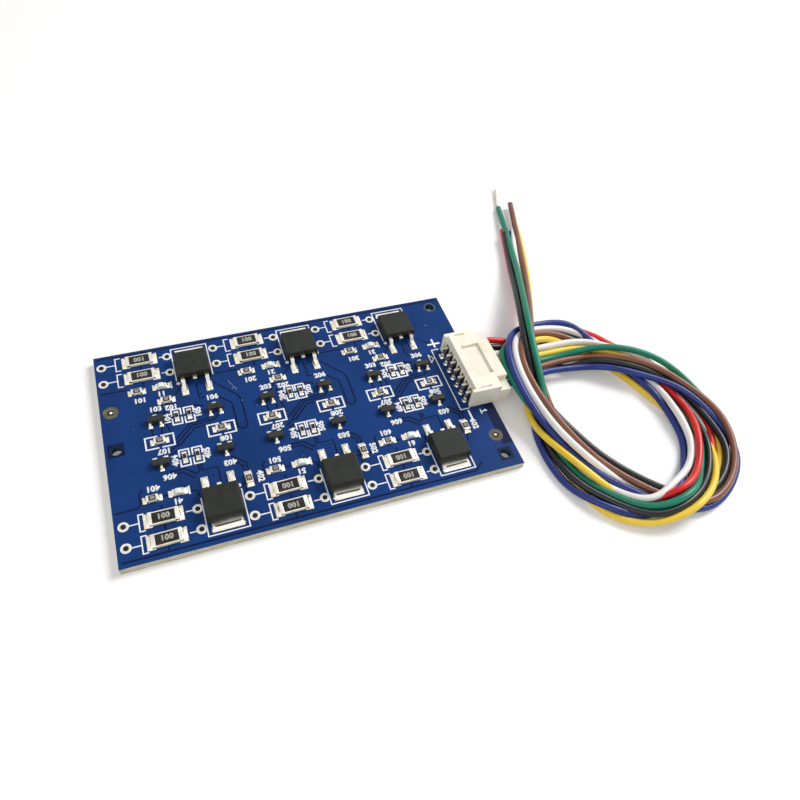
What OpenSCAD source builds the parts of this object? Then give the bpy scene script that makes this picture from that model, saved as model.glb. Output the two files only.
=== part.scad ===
// Balancing board of a six-cell battery pack: six shunt cells on one circuit board,
// a seven-way side-entry header at its right edge, and the plugged sense harness.
// Frame: origin at the centre of the board's underside, +X towards the header, +Z up.

/* [Board] */
// Length of the board
board_l = 73.2; // [72:0.1:75]
// Width of the board
board_w = 45.8; // [45:0.1:47]
// Thickness of the board
board_t = 1.6; // [1.2:0.1:2]
// Radius of the three bare mounting holes
mount_r = 1; // [0.8:0.05:1.1]

/* [Power devices] */
// Width of a shunt transistor's plastic body
mosfet_w = 6.4; // [6.2:0.1:6.7]
// Height of a shunt transistor
mosfet_h = 2.3; // [2:0.1:2.5]
// Length of a power resistor
power_l = 5; // [4.6:0.1:5.2]
// Width of a power resistor
power_w = 2.5; // [2.2:0.1:2.6]

/* [Connector] */
// Distance between neighbouring pins
pitch = 2; // [2:0.1:2]
// Height of the header above the board
header_h = 4.8; // [4.6:0.1:5]

/* [Wires] */
// Outside diameter of a wire's insulation
wire_d = 1.4; // [1.2:0.05:1.4]
// Rings along each wire's tube
wire_rings = 78; // [40:1:80]

/* [Hidden] */
// Thickness of the copper and solder under each terminal, and of the printed legend
pad_t = 0.1;
ink_t = 0.03;
ink_w = 0.22;
top = board_t + pad_t;
// Plated holes: radius of the hole, the barrel and the collar
via_r = 0.37;
barrel_r = 0.46;
collar_r = 0.62;
// Positions are x, y from the board's front left corner.
// The upper cells face the front edge with their leads, the lower ones the back edge.
mosfet_up = [[17.95, 38.6], [39.4, 38.6], [60.6, 38.6]];
mosfet_down = [[17.95, 6.95], [39.2, 6.95], [60.2, 6.95]];
power_up = [[8.4, 43], [8.4, 38.9], [29.5, 43], [29.5, 38.9], [50.9, 43], [50.9, 38.9]];
power_down = [[8, 7.4], [8, 3.3], [29.3, 7.4], [29.3, 3.3], [50.7, 7.4], [50.7, 3.3]];
led_at = [[11.5, 35.5], [32.6, 35.5], [53.9, 35.5], [11, 11.5], [32.7, 11.5], [54.1, 11.7]];
led_resistor_at = [[7, 35.2], [27.8, 35.1], [49.2, 35.1], [6.7, 11.35], [28, 11.35], [49.5, 11.6]];
gate_resistor_flat = [[11.95, 31.9], [33.35, 31.8], [54.95, 31.8]];
gate_resistor_upright = [[23.15, 10.8], [44.5, 10.9], [65.4, 10.9]];
sense_resistor_at = [[9.5, 22.9], [20.6, 22.9], [30.15, 23], [41.75, 23], [51.9, 23], [62.4, 23]];
divider_a_at = [[13.2, 27.7], [34.8, 27.7], [56.1, 27.7], [13.2, 18.3], [34.8, 18.5], [56.1, 19]];
divider_b_at = [[15.5, 27.7], [36.9, 27.7], [58.1, 27.7], [15.5, 18.3], [36.9, 18.5], [58.2, 19]];
// Small three-legged packages: x, y and the side, +1 or -1, that carries the single leg
driver_at = [[9.35, 27.6, 1], [30.2, 27.6, 1], [51.95, 27.6, 1],
    [20.45, 18.1, -1], [41.8, 18.3, -1], [62.5, 18.4, -1]];
reference_at = [[20.3, 27.7, 1], [41.7, 27.7, 1], [62.6, 27.7, 1],
    [9.1, 18, -1], [29.7, 18.3, -1], [51.75, 18.5, -1]];
through_at = [
    for (x = [1.3, 13.6, 22.6, 35, 44.05, 56.2]) for (y = [42.9, 38.75]) [x, y],
    for (x = [1.5, 13.6, 22.55, 34.95, 43.8, 56]) for (y = [7.45, 3.45]) [x, y]];
mount_at = [[1.95, 23], [70.5, 43.25], [70.6, 3]];
cable_pad_at = [[1.9, 31.6], [70.5, 7.4]];
cable_pad_r = 1.4;
cable_hole_r = 0.5;
// Chip sizes: length, width, height, end cap
chip_big = [2, 1.25, 0.55, 0.4];
chip_small = [1.6, 0.8, 0.45, 0.3];
chip_power = [power_l, power_w, 0.6, 0.6];
// Shunt transistor
mosfet_l = 6.1;
tab_w = 5.1;
tab_t = 0.5;
tab_out = 1;
lead_w = 0.76;
lead_step = 2.28;
// Header, plug and pins
ways = 7;
pin_x = 67.9;
header_x = 68.9;
header_l = 5.4;
header_w = (ways - 1) * pitch + 3.9;
wall = 0.7;
back_wall = 0.8;
plug_end = 76.7;
plug_w = (ways - 1) * pitch + 3.8;
plug_h = 4.5;
pin_s = 0.5;
wire_z = board_t + header_h / 2;
header_y = board_w / 2;
// Half width of the plug's raised middle, and the height of its lower shoulders
latch_w = 5.2;
shoulder_h = 3.35;

module at(x, y, z = board_t) {
    translate([x - board_l / 2, y - board_w / 2, z]) children();
}

// A box centred on x and y, standing on z = 0
module slab(x, y, z) {
    translate([-x / 2, -y / 2, 0]) cube([x, y, z]);
}

// ---- circuit board ----

module circuit_board() {
    color("royalblue") difference() {
        at(board_l / 2, board_w / 2, 0) slab(board_l, board_w, board_t);
        for (p = mount_at) at(p.x, p.y, -1) cylinder(r = mount_r, h = board_t + 2, $fn = 48);
        for (p = through_at) at(p.x, p.y, -1) cylinder(r = barrel_r, h = board_t + 2, $fn = 24);
        for (p = cable_pad_at) at(p.x, p.y, -1) cylinder(r = cable_hole_r + 0.1, h = board_t + 2, $fn = 24);
        for (i = [0:ways - 1]) at(pin_x, pin_y(i), -1) cylinder(r = 0.45, h = board_t + 2, $fn = 24);
    }
}

function pin_y(i) = header_y + ((ways - 1) / 2 - i) * pitch;

// Plated hole: a barrel through the board with a collar on top
module plated_hole(hole, barrel, collar) {
    difference() {
        union() {
            translate([0, 0, -board_t]) cylinder(r = barrel, h = board_t, $fn = 24);
            cylinder(r = collar, h = pad_t / 2, $fn = 24);
        }
        translate([0, 0, -board_t - 1]) cylinder(r = hole, h = board_t + 2, $fn = 24);
    }
}

module pad_pair(gap, x, y) {
    for (s = [-1, 1]) translate([s * gap / 2, 0, 0]) slab(x, y, pad_t);
}

module solder_pads() {
    color("silver") {
        for (p = through_at) at(p.x, p.y) plated_hole(via_r, barrel_r, collar_r);
        for (p = cable_pad_at) at(p.x, p.y) plated_hole(cable_hole_r, cable_hole_r + 0.1, cable_pad_r);
        for (p = concat(power_up, power_down)) at(p.x, p.y) pad_pair(5.2, 1.4, 2.8);
        for (p = concat(led_resistor_at, gate_resistor_flat, led_at, sense_resistor_at))
            at(p.x, p.y) pad_pair(2.2, 1.1, 1.3);
        for (p = gate_resistor_upright) at(p.x, p.y) rotate(90) pad_pair(2.2, 1.1, 1.3);
        for (p = concat(divider_a_at, divider_b_at)) at(p.x, p.y) rotate(90) pad_pair(1.7, 0.8, 0.85);
        for (p = concat(driver_at, reference_at)) at(p.x, p.y) small_package_pads(p.z);
        for (p = mosfet_up) at(p.x, p.y) mosfet_pads(5.3);
        for (p = mosfet_down) at(p.x, p.y) rotate(180) mosfet_pads(4.75);
    }
}

module small_package_pads(side) {
    translate([0, side * 1.15, 0]) slab(0.8, 0.8, pad_t);
    for (s = [-1, 1]) translate([s * 0.95, -side * 1.15, 0]) slab(0.8, 0.8, pad_t);
}

// Pads of a shunt transistor, whose tab is soldered as far as "reach"
module mosfet_pads(reach) {
    translate([0, (reach - 1.5) / 2, 0]) slab(5.5, reach + 1.5, pad_t);
    for (s = [-1, 1]) translate([s * lead_step, -5.1, 0]) slab(1.25, 2.5, pad_t);
}

// ---- printed legend ----

module line_to(a, b, w = ink_w) {
    d = b - a;
    translate([a.x, a.y, 0]) rotate(atan2(d.y, d.x))
        translate([-w / 2, -w / 2, 0]) cube([norm(d) + w, w, ink_t]);
}

module ink_ring(r_out, r_in) {
    difference() {
        cylinder(r = r_out, h = ink_t, $fn = 24);
        translate([0, 0, -1]) cylinder(r = r_in, h = 2, $fn = 24);
    }
}

module ink_path(points, w = ink_w) {
    for (i = [1:len(points) - 1]) line_to(points[i - 1], points[i], w);
}

// Outline of a shunt transistor, with the dot at its first lead
module mosfet_legend(reach) {
    ink_path([[-3.48, -2.3], [-3.48, reach], [3.48, reach], [3.48, -2.3]]);
    translate([-3.25, -3.1, 0]) cylinder(r = 0.37, h = ink_t, $fn = 16);
}

// Lead wires and bracket of a power resistor between its two plated holes
module power_legend(p, left, right, reach) {
    at(0, 0) {
        line_to([left + 0.95, p.y], [p.x - reach - 0.1, p.y]);
        line_to([p.x + 3.75, p.y], [right - 0.95, p.y]);
        ink_path([[p.x - reach + 0.8, p.y + 1.6], [p.x - reach, p.y + 1.6],
            [p.x - reach, p.y - 1.6], [p.x - reach + 0.8, p.y - 1.6]]);
    }
}

module chip_box(x, y) {
    ink_path([[-0.4, y], [-x, y], [-x, -y], [-0.4, -y]], 0.28);
    ink_path([[0.4, y], [x, y], [x, -y], [0.4, -y]], 0.28);
}

module printed_legend() {
    color("white") {
        for (p = through_at) at(p.x, p.y) ink_ring(0.9, collar_r + 0.03);
        for (p = mosfet_up) at(p.x, p.y) mosfet_legend(5.9);
        for (p = mosfet_down) at(p.x, p.y) rotate(180) mosfet_legend(5.2);
        for (i = [0:5]) {
            k = 4 * floor(i / 2);
            power_legend(power_up[i], through_at[k].x, through_at[k + 2].x, 4.5);
            power_legend(power_down[i], through_at[k + 12].x, through_at[k + 14].x, 4);
        }
        for (p = sense_resistor_at) at(p.x, p.y) chip_box(2.5, 1.3);
        for (p = concat(divider_a_at, divider_b_at)) at(p.x, p.y) rotate(90) chip_box(1.75, 0.85);
        for (p = led_at) at(p.x + 1.85, p.y) line_to([0, -0.7], [0, 0.7], 0.3);
        at(0, 0) connector_legend();
    }
}

// Frame of the header, the plus and minus signs, the arrow and the number of the first pin
module connector_legend() {
    ink_path([[67.7, 31.1], [66.2, 31.1], [66.2, 14.85], [68, 14.85]]);
    line_to([66.1, 32.7], [68.5, 32.7], 0.4);
    line_to([67.3, 31.9], [67.3, 33.9], 0.4);
    ink_path([[65.9, 28.9], [65, 30], [65, 27.9], [65.9, 28.9]]);
    line_to([67.6, 12.3], [67.6, 14.2], 0.4);
    ink_path([[70, 13.9], [70, 12.9]]);
    ink_path([[70, 13.4], [71.2, 13.4], [70.9, 13.7]]);
}

// ---- chips ----

// Chip with two end caps that wrap a hair beyond its body
module chip(size) {
    difference() {
        slab(size[0], size[1], size[2]);
        for (s = [-1, 1]) translate([s * (size[0] / 2 - size[3]), 0, size[2] - 0.03])
            slab(0.04, size[1] + 1, 1);
    }
}

module chips(places, size, turn = 0) {
    for (p = places) at(p.x, p.y, top) rotate(turn) chip(size);
}

module power_resistors(n) {
    list = n < 3 ? power_up : power_down;
    k = n % 3;
    color("dimgray") chips([list[2 * k], list[2 * k + 1]], chip_power);
}

module led_resistors() { color("black") chips(led_resistor_at, chip_big); }

module gate_resistors() {
    color("black") {
        chips(gate_resistor_flat, chip_big);
        chips(gate_resistor_upright, chip_big, 90);
    }
}

module sense_resistors() { color("black") chips(sense_resistor_at, chip_big); }

module divider_resistors_a() { color("black") chips(divider_a_at, chip_small, 90); }

module divider_resistors_b() { color("black") chips(divider_b_at, chip_small, 90); }

// Surface-mount lamp: a flat base with a domed lens between its end caps
module led(n) {
    p = led_at[n];
    color("ivory") at(p.x, p.y, top) {
        slab(chip_big[0], chip_big[1], 0.3);
        translate([0, 0, 0.3]) difference() {
            translate([0, 0, -0.25]) rotate([90, 0, 0]) cylinder(r = 0.75, h = 1.2, center = true, $fn = 32);
            translate([0, 0, -2]) slab(4, 4, 2);
        }
    }
}

// Three-legged package: moulded body with a chamfered top, and three bent legs
module small_package(p) {
    at(p.x, p.y, top) {
        translate([0, 0, 0.1]) hull() {
            slab(2.8, 1.2, 0.9);
            translate([0, 0, 0.4]) slab(2.9, 1.35, 0.1);
        }
        translate([0, p.z * 0.6, 0]) leg(p.z);
        for (s = [-1, 1]) translate([s * 0.95, -p.z * 0.6, 0]) leg(-p.z);
    }
}

module leg(side) {
    rotate(side > 0 ? 0 : 180) rotate([90, 0, 90]) translate([0, 0, -0.2])
        linear_extrude(0.4) polygon([[0, 0.5], [0.3, 0.5], [0.3, 0], [0.75, 0], [0.75, 0.15], [0.45, 0.15],
            [0.45, 0.65], [0, 0.65]]);
}

module driver_transistor(n) { color("black") small_package(driver_at[n]); }

module voltage_reference(n) { color("black") small_package(reference_at[n]); }

// ---- shunt transistors ----

module mosfet_place(n) {
    p = n < 3 ? mosfet_up[n] : mosfet_down[n - 3];
    at(p.x, p.y, top) rotate(n < 3 ? 0 : 180) children();
}

// Tab under the body, two long leads and the cropped middle one, before bending round the pads
module mosfet_metal() {
    translate([0, (tab_out + 1) / 2, 0]) slab(tab_w, mosfet_l + tab_out - 1, tab_t);
    for (s = [-1, 1]) translate([s * lead_step, 0, 0]) lead([[-2.6, 0.9], [-3.6, 0.9], [-4.1, 0], [-5.8, 0],
        [-5.8, 0.5], [-4.4, 0.5], [-3.9, 1.4], [-2.6, 1.4]]);
    lead([[-2.6, 0.9], [-3.8, 0.9], [-3.8, 1.4], [-2.6, 1.4]]);
}

module lead(outline) {
    rotate([90, 0, 90]) translate([0, 0, -lead_w / 2]) linear_extrude(lead_w) polygon(outline);
}

module mosfet_frame(n) { color("silver") mosfet_place(n) mosfet_metal(); }

module mosfet_body(n) {
    color("darkslategray") mosfet_place(n) difference() {
        hull() {
            translate([0, 0, 0.02]) slab(mosfet_w - 0.2, mosfet_l - 0.2, 0.1);
            translate([0, 0, 0.8]) slab(mosfet_w, mosfet_l, 0.4);
            translate([0, 0, mosfet_h - 0.1]) slab(mosfet_w - 0.3, mosfet_l - 0.3, 0.1);
        }
        mosfet_metal();
    }
}

// ---- connector ----

// Square pin: up through the board, over, and forward into the header
module header_pins() {
    up = header_h / 2 + pin_s / 2;
    color("gold") for (i = [0:ways - 1]) at(pin_x, pin_y(i)) rotate([90, 0, 0]) translate([0, 0, -pin_s / 2])
        linear_extrude(pin_s) polygon([[-pin_s / 2, -board_t], [pin_s / 2, -board_t], [pin_s / 2, up - pin_s],
            [5.5, up - pin_s], [5.5, up], [-pin_s / 2, up]]);
}

module header_shell() {
    color("ivory") at(header_x, header_y) difference() {
        union() {
            translate([0, -header_w / 2, 0]) cube([header_l, header_w, header_h]);
            for (i = [1:ways - 1]) translate([-0.3, (i - ways / 2) * pitch - 0.15, 0]) cube([0.4, 0.3, 3.3]);
            for (s = [-1, 1]) translate([-0.4, s * (header_w - 0.8) / 2, 0]) slab(0.8, 0.8, header_h);
        }
        translate([back_wall, -header_w / 2 + wall, wall])
            cube([header_l, header_w - 2 * wall, header_h - 2 * wall + 0.1]);
        translate([1.4, -4, 1]) cube([header_l, 8, header_h]);
        for (s = [-1, 1]) translate([1.1, s * 7.1 - 0.2, header_h - 0.4]) cube([2.4, 0.4, 1]);
        for (i = [0:ways - 1]) translate([-0.01, (i - (ways - 1) / 2) * pitch, header_h / 2])
            translate([0, -pin_s / 2, -pin_s / 2]) cube([2, pin_s, pin_s]);
    }
}

// Plug: its nose fills the header, its flange stands behind it; round wire holes at the rear
module plug_housing() {
    nose = header_x + header_l;
    color("ivory") difference() {
        union() {
            at(nose, header_y) translate([-4, -header_w / 2 + wall + 0.1, wall + 0.05])
                cube([4, header_w - 2 * wall - 0.2, header_h - 2 * wall]);
            at(nose, header_y) translate([0, -plug_w / 2, 0.15]) cube([plug_end - nose, plug_w, plug_h]);
        }
        for (s = [-1, 1]) at(nose + 0.1, header_y + s * (latch_w + 5)) translate([5, 0, shoulder_h])
            slab(10, 10, plug_h);
        for (i = [0:ways - 1]) at(0, pin_y(i), wire_z) {
            translate([nose - 5, -pin_s / 2, -pin_s / 2]) cube([2, pin_s, pin_s]);
            translate([nose - 3.2, -0.6, -0.7]) cube([3.9, 1.2, 1.4]);
            translate([nose + 0.69, 0, 0]) rotate([0, 90, 0]) cylinder(r = wire_d / 2, h = 5, $fn = 24);
        }
    }
}

// Crimp contact in each way of the plug: a box that grips the pin, ending at the wire
module crimp_contacts() {
    nose = header_x + header_l;
    color("silver") for (i = [0:ways - 1]) at(nose - 3.2, pin_y(i), wire_z) difference() {
        translate([0, -0.6, -0.7]) cube([3.9, 1.2, 1.4]);
        translate([-1, -pin_s / 2, -pin_s / 2]) cube([1 + pin_x + 5.5 - nose + 3.2, pin_s, pin_s]);
    }
}

// ---- wires ----

// Stations round the loop, taken twice, and along the tail: x, y, and the direction in
// degrees that points out of the loop, square to the wires
stations = [
    [38.4, 0, 90], [41, 0, 90], [45.5, 0, 90], [50.5, 0, 90], [56, -0.8, 85], [62, -1.8, 75],
    [67.5, -4.2, 60], [73.5, -9.5, 44], [78.3, -15.8, 27], [80.4, -23.5, 2], [79.4, -31, -26],
    [75.2, -37, -52], [68, -40.3, -80], [61, -38.8, -118], [55.5, -33.3, -142],
    [50.8, -26.5, -150], [47.2, -19.5, -158], [45, -12.5, -168], [44, -5.5, -178], [45, 1, 160],
    [49, 5, 115], [55, 5.5, 85], [61, 4, 65], [66, -0.5, 40], [69.8, -7, 22], [72.3, -13.5, 12],
    [73.5, -20.5, -1], [72.8, -27.5, -16], [69, -34, -45], [62.5, -38.5, -72], [55, -39, -102],
    [48.5, -35.3, -132], [44.3, -29.5, -155], [42.8, -22.5, -174], [43.8, -15.5, 166],
    [46.8, -8.5, 158], [49, 0, 163], [52.6, 10, 160], [59, 27, 158]
];

// Each wire's place at every station: how far it lies across the bundle, and its height
red = [
    [6, 4], [6, 4], [5.2, 3.3], [3.4, 1.3], [5.4, 0.7], [8, 0.7], [5.3, 0.7], [2.2, 0.7],
    [-0.5, 0.7], [-1.2, 0.7], [-3.2, 0.7], [-3.6, 0.7], [-3.5, 0.7], [-2.4, 0.7], [-0.7, 0.7],
    [-0.3, 1.2], [0, 3.4], [0.4, 3.5], [0.2, 4.9], [0.8, 5], [1, 3.4], [1.6, 2.3], [2.3, 2.1],
    [2.6, 2], [1.7, 1.95], [2.1, 2], [2.2, 2.1], [0.4, 3.2], [-0.3, 2.9], [-1, 4.6], [-2, 1.5],
    [-1, 0.7], [-3.7, 0.7], [-3.6, 0.7], [-3.4, 0.7], [-0.5, 1.4], [0.9, 3.8], [0.4, 3.5], [1, 0.7]
];
black = [
    [4, 4], [4, 4], [3.2, 3.1], [1.3, 0.8], [-2.5, 0.9], [-2.2, 2.6], [-2.6, 3.4], [-1.7, 3.6],
    [-1.2, 2.2], [-1.8, 2], [-1.1, 1.95], [-1.4, 1.95], [-1.2, 1.95], [-1.6, 2.1], [-2, 1.3],
    [-1.7, 1.5], [-1.4, 2.9], [-1.3, 3.4], [-1.2, 4.9], [-0.6, 5], [-1.3, 3], [-1.2, 2.5],
    [-0.3, 0.8], [2.2, 0.8], [2.4, 0.7], [2.8, 0.7], [3.1, 0.8], [2.7, 2], [2, 2.2], [1.4, 3.6],
    [1.5, 2.7], [-0.3, 1.9], [0, 1.9], [-0.1, 1.5], [-0.5, 0.7], [1.2, 3.9], [1.9, 6.4], [2, 6.3],
    [1.3, 1.95]
];
white = [
    [2, 4], [2, 4], [1.8, 3.7], [1.9, 3], [2.7, 2.9], [3.1, 2.9], [1.7, 3.2], [1.3, 3.3],
    [-1.9, 0.9], [-2.6, 0.7], [-4.6, 0.7], [-5, 0.7], [-4, 2], [-1, 0.8], [0.7, 0.8], [1.7, 2.8],
    [2.1, 4.5], [1.1, 4.7], [0.9, 6.2], [0.1, 6.2], [0.3, 4.8], [0.8, 3.6], [1.1, 2.8], [0.9, 2],
    [0.2, 1.95], [0.3, 2.1], [-1, 2.8], [-0.9, 2.2], [-1.7, 2.2], [-3, 3.2], [-1.6, 2.9],
    [-3, 1.7], [-3, 2], [-2.9, 1.95], [-2.5, 2.5], [0, 2.7], [-0.5, 3.8], [-0.9, 3.3], [-0.2, 1.95]
];
yellow = [
    [0, 4], [0, 4], [0.2, 3.2], [0.6, 2.2], [1.4, 2.2], [1.8, 2.1], [0.2, 3.2], [-0.2, 3.2],
    [0.5, 2], [0.2, 0.7], [-1.8, 0.7], [-2.2, 0.7], [-1.9, 0.7], [0.6, 0.7], [3.6, 0.8], [4.5, 3],
    [4, 2.7], [3, 2.1], [-1.4, 3.8], [-2, 4.9], [-2.4, 4.4], [-2.2, 3.6], [-1.7, 0.8], [-2.6, 0.7],
    [-2.1, 0.7], [-2, 0.7], [-0.4, 0.7], [3.6, 0.8], [3.4, 2.4], [2.9, 3.5], [2.5, 1.5],
    [1.9, 0.7], [-0.4, 0.7], [-1.35, 0.7], [-2, 1.2], [-1.1, 2.4], [0, 5], [-0.7, 4.8], [-3, 0.7]
];
green = [
    [-2, 4], [-2, 4], [-1.5, 3.3], [-0.9, 2.3], [0, 2.2], [0.4, 3.5], [0.9, 4.5], [2.3, 4.3],
    [2.2, 2.1], [1.7, 0.7], [-0.4, 0.7], [-0.6, 0.7], [-0.5, 0.7], [2.1, 0.7], [2.1, 0.7],
    [1.15, 1.2], [1.4, 3.4], [2.1, 3.4], [2.65, 5], [2.6, 5], [-0.4, 3.7], [0.2, 2.3], [0.9, 1.4],
    [0.6, 0.7], [0.9, 0.7], [1.3, 0.7], [1.6, 0.8], [1.2, 2], [0.6, 1.8], [0.5, 4.7], [0, 2.8],
    [-1.7, 1.9], [-1.8, 1.3], [-1.3, 1.9], [-1.2, 2.5], [0, 5], [0.7, 7.5], [1, 7.2], [0.3, 3.1]
];
brown = [
    [-4, 4], [-4, 4], [-3.3, 3.3], [-2.5, 2.4], [-1.35, 2.3], [-0.8, 2.2], [-1.2, 3.6],
    [-0.6, 4.5], [-0.4, 3.5], [0.9, 2.9], [0.3, 2.5], [0.1, 1.95], [0.3, 1.95], [-0.2, 2.1],
    [0, 2.1], [0.4, 2.5], [0.7, 4.6], [-0.4, 4.7], [-0.5, 6.1], [-1.3, 6.1], [-1.1, 5.1],
    [-0.6, 3.7], [-0.7, 2.1], [-1.1, 0.8], [-0.6, 0.7], [-0.4, 0.8], [0.1, 2.1], [-0.2, 0.8],
    [-0.9, 1.1], [-0.1, 3.5], [-0.5, 1.4], [0.4, 0.7], [-5.1, 0.7], [-5.1, 0.7], [-3.5, 1.95],
    [-0.5, 3.9], [0.45, 6.3], [-0.3, 6.2], [-2, 1.75]
];
blue = [
    [-6, 4], [-6, 4], [-5.2, 3.2], [-4.1, 2.4], [-3.6, 2.2], [-3.6, 2.2], [-4, 3.2], [-3, 3.2],
    [-1.9, 3.4], [-0.4, 2.1], [1.4, 1.2], [0.9, 0.7], [1, 0.7], [1.5, 2.1], [2.2, 2], [2.7, 1.8],
    [2.8, 3.2], [2.5, 4.4], [2.3, 6.2], [1.5, 6.2], [1.7, 4.6], [2.2, 3.5], [2.4, 3.5],
    [-0.4, 2.1], [-1.3, 1.95], [-1.3, 1.95], [-1.6, 1.2], [-1.7, 0.8], [-2.4, 0.9], [-1.6, 3.4],
    [1, 1.4], [1.1, 1.9], [1.3, 0.7], [1, 0.7], [1, 0.7], [1.2, 2.6], [1.45, 5], [1.1, 4.9],
    [-0.4, 0.7]
];

// Where each wire is cut off
tips = [
    [62.9, 42.5, 0.7], [62, 40, 1.9], [65.6, 42.3, 0.7], [67, 42.9, 0.7], [65.7, 51.1, 0.8],
    [69.2, 51.4, 1.4], [64.4, 41.2, 0.7]
];
wires = [red, black, white, yellow, green, brown, blue];

function place(s, w) = [s.x + w[0] * cos(s.z), s.y + w[0] * sin(s.z), w[1]];
function route(n) = concat([for (i = [0:len(stations) - 1]) place(stations[i], wires[n][i])], [tips[n]]);

// Smooth curve near every point of a route: a uniform cubic B-spline over corrected points,
// kept on the table
function ends(r) = concat([2 * r[0] - r[1]], r, [2 * r[len(r) - 1] - r[len(r) - 2]]);
function corrected(r) = [for (i = [0:len(r) - 1]) i == 0 || i == len(r) - 1 ? r[i]
    : r[i] - (r[i - 1] - 2 * r[i] + r[i + 1]) / 6];
function spline(q, i, t) = (pow(1 - t, 3) * q[i] + (3 * t * t * t - 6 * t * t + 4) * q[i + 1]
    + (-3 * t * t * t + 3 * t * t + 3 * t + 1) * q[i + 2] + t * t * t * q[i + 3]) / 6;
function laid(p) = [p.x, p.y, max(p.z, wire_d / 2)];
function curve(r, n) = let (q = ends(corrected(r)), m = len(r) - 1)
    [for (k = [0:n - 1]) let (u = k * m / (n - 1), i = min(floor(u), m - 1)) laid(spline(q, i, u - i))];

// Tube of eight flat sides along a route
function unit(v) = v / norm(v);
function ring(c, d) = let (side = unit(cross(d, [0, 0, 1])), over = cross(side, d))
    [for (a = [0:45:315]) c + wire_d / 2 * (cos(a) * side + sin(a) * over)];
module wire(n, hue) {
    c = curve(route(n), wire_rings);
    last = wire_rings - 1;
    points = [for (k = [0:last]) each ring(c[k], unit(c[min(k + 1, last)] - c[max(k - 1, 0)]))];
    sides = [for (k = [0:last - 1]) for (j = [0:7]) let (a = k * 8 + j, b = k * 8 + (j + 1) % 8)
        each [[a, b, b + 8], [a, b + 8, a + 8]]];
    lids = [[for (j = [7:-1:0]) j], [for (j = [0:7]) last * 8 + j]];
    color(hue) polyhedron(points, concat(sides, lids), convexity = 20);
}

// Tinned strands of the green wire, stripped and bent aside on the table
bare_route = [[65.4, 50.2, 0.8], [65.7, 51.1, 0.8], [66, 52.5, 0.6], [66.6, 54.5, 0.4], [67.6, 56.7, 0.4],
    [68.3, 58.7, 0.4], [68.8, 60.5, 0.4]];
module bare_end() {
    color("silver") for (i = [1:len(bare_route) - 2]) hull() {
        translate(bare_route[i]) sphere(r = 0.35, $fn = 12);
        translate(bare_route[i + 1]) sphere(r = 0.3, $fn = 12);
    }
}

circuit_board();
solder_pads();
printed_legend();
for (n = [0:5]) {
    power_resistors(n);
    mosfet_body(n);
    mosfet_frame(n);
    led(n);
    driver_transistor(n);
    voltage_reference(n);
}
led_resistors();
gate_resistors();
sense_resistors();
divider_resistors_a();
divider_resistors_b();
header_shell();
header_pins();
plug_housing();
crimp_contacts();
wire(0, "red");  // red_wire
wire(1, "black");  // black_wire
wire(2, "white");  // white_wire
wire(3, "gold");  // yellow_wire
wire(4, "teal");  // green_wire
wire(5, "sienna");  // brown_wire
wire(6, "navy");  // blue_wire
bare_end();
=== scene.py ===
# %% [markdown]
# # A cell-balancing board and its plugged harness
# The real thing is a blue circuit board, 73.2 by 45.8 mm, that keeps six battery cells at
# one voltage. A white plug at its right edge carries seven thin wires, coiled twice.
# The measured solids come first. They are a fixed frame that nothing here moves: every
# piece below takes its place from them, in metres, and then gets its finish.

# %% Load the frame
import math
import bpy
import bmesh
from mathutils import Matrix, Vector


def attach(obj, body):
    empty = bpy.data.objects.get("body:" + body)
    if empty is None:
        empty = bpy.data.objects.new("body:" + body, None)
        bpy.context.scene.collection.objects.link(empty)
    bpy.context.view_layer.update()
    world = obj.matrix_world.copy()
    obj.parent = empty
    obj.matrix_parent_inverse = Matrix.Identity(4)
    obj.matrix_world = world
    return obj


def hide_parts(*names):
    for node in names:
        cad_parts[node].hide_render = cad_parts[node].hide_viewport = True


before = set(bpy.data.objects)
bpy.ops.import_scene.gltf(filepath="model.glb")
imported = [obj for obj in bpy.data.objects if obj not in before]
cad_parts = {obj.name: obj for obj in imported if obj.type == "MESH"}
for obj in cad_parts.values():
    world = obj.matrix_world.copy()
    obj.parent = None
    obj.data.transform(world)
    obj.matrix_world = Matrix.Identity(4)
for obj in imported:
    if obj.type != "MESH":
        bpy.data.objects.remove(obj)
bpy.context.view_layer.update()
MM = 0.001
BOARD = (73.2, 45.8, 1.6)
TOP = BOARD[2] + 0.1


def spot(x, y, z=TOP):
    """A place on the board, from millimetres at its front left corner."""
    return Vector((x - BOARD[0] / 2, y - BOARD[1] / 2, z)) * MM


def show(thing):
    """Put an object into the scene."""
    bpy.context.scene.collection.objects.link(thing)
    return thing


print("solids:", len(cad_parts), "board top at", BOARD[2], "mm")

# %% [markdown]
# ## The camera
# A camera can be aimed by turning it, or its three axes can be written down. The axes are
# plainer here: right, up, and backwards, each one a column of the camera's matrix. The
# board is seen from its front left corner, from a little over 13 cm away.

# %% Aim the camera
RIGHT = Vector((0.93539, -0.33720, 0.10644))
UP = Vector((0.20807, 0.76828, 0.60535))
BACK = Vector((-0.28590, -0.54409, 0.78881))
EYE = Vector((-19.69, -75.43, 107.30)) * MM

camera_data = bpy.data.cameras.new("camera")
camera_data.lens = 30.294
camera_data.sensor_width = 36
camera_data.clip_start = 0.005
camera = show(bpy.data.objects.new("camera", camera_data))
axes = Matrix((RIGHT, UP, BACK)).transposed()
camera.matrix_world = Matrix.Translation(EYE) @ axes.to_4x4()
bpy.context.scene.camera = camera
print("camera is", round(EYE.length * 1000), "mm from the board's middle")

# %% [markdown]
# ## The route of the harness
# Seven wires leave the plug, go twice round a loop and end in a straight tail. They could
# be seven unrelated curves, but wires in a harness travel together. So the route is one row
# of stations, each with the direction that points out of the loop, and each wire only says
# how far across the bundle it lies there and how high. All of these are millimetres.

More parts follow.
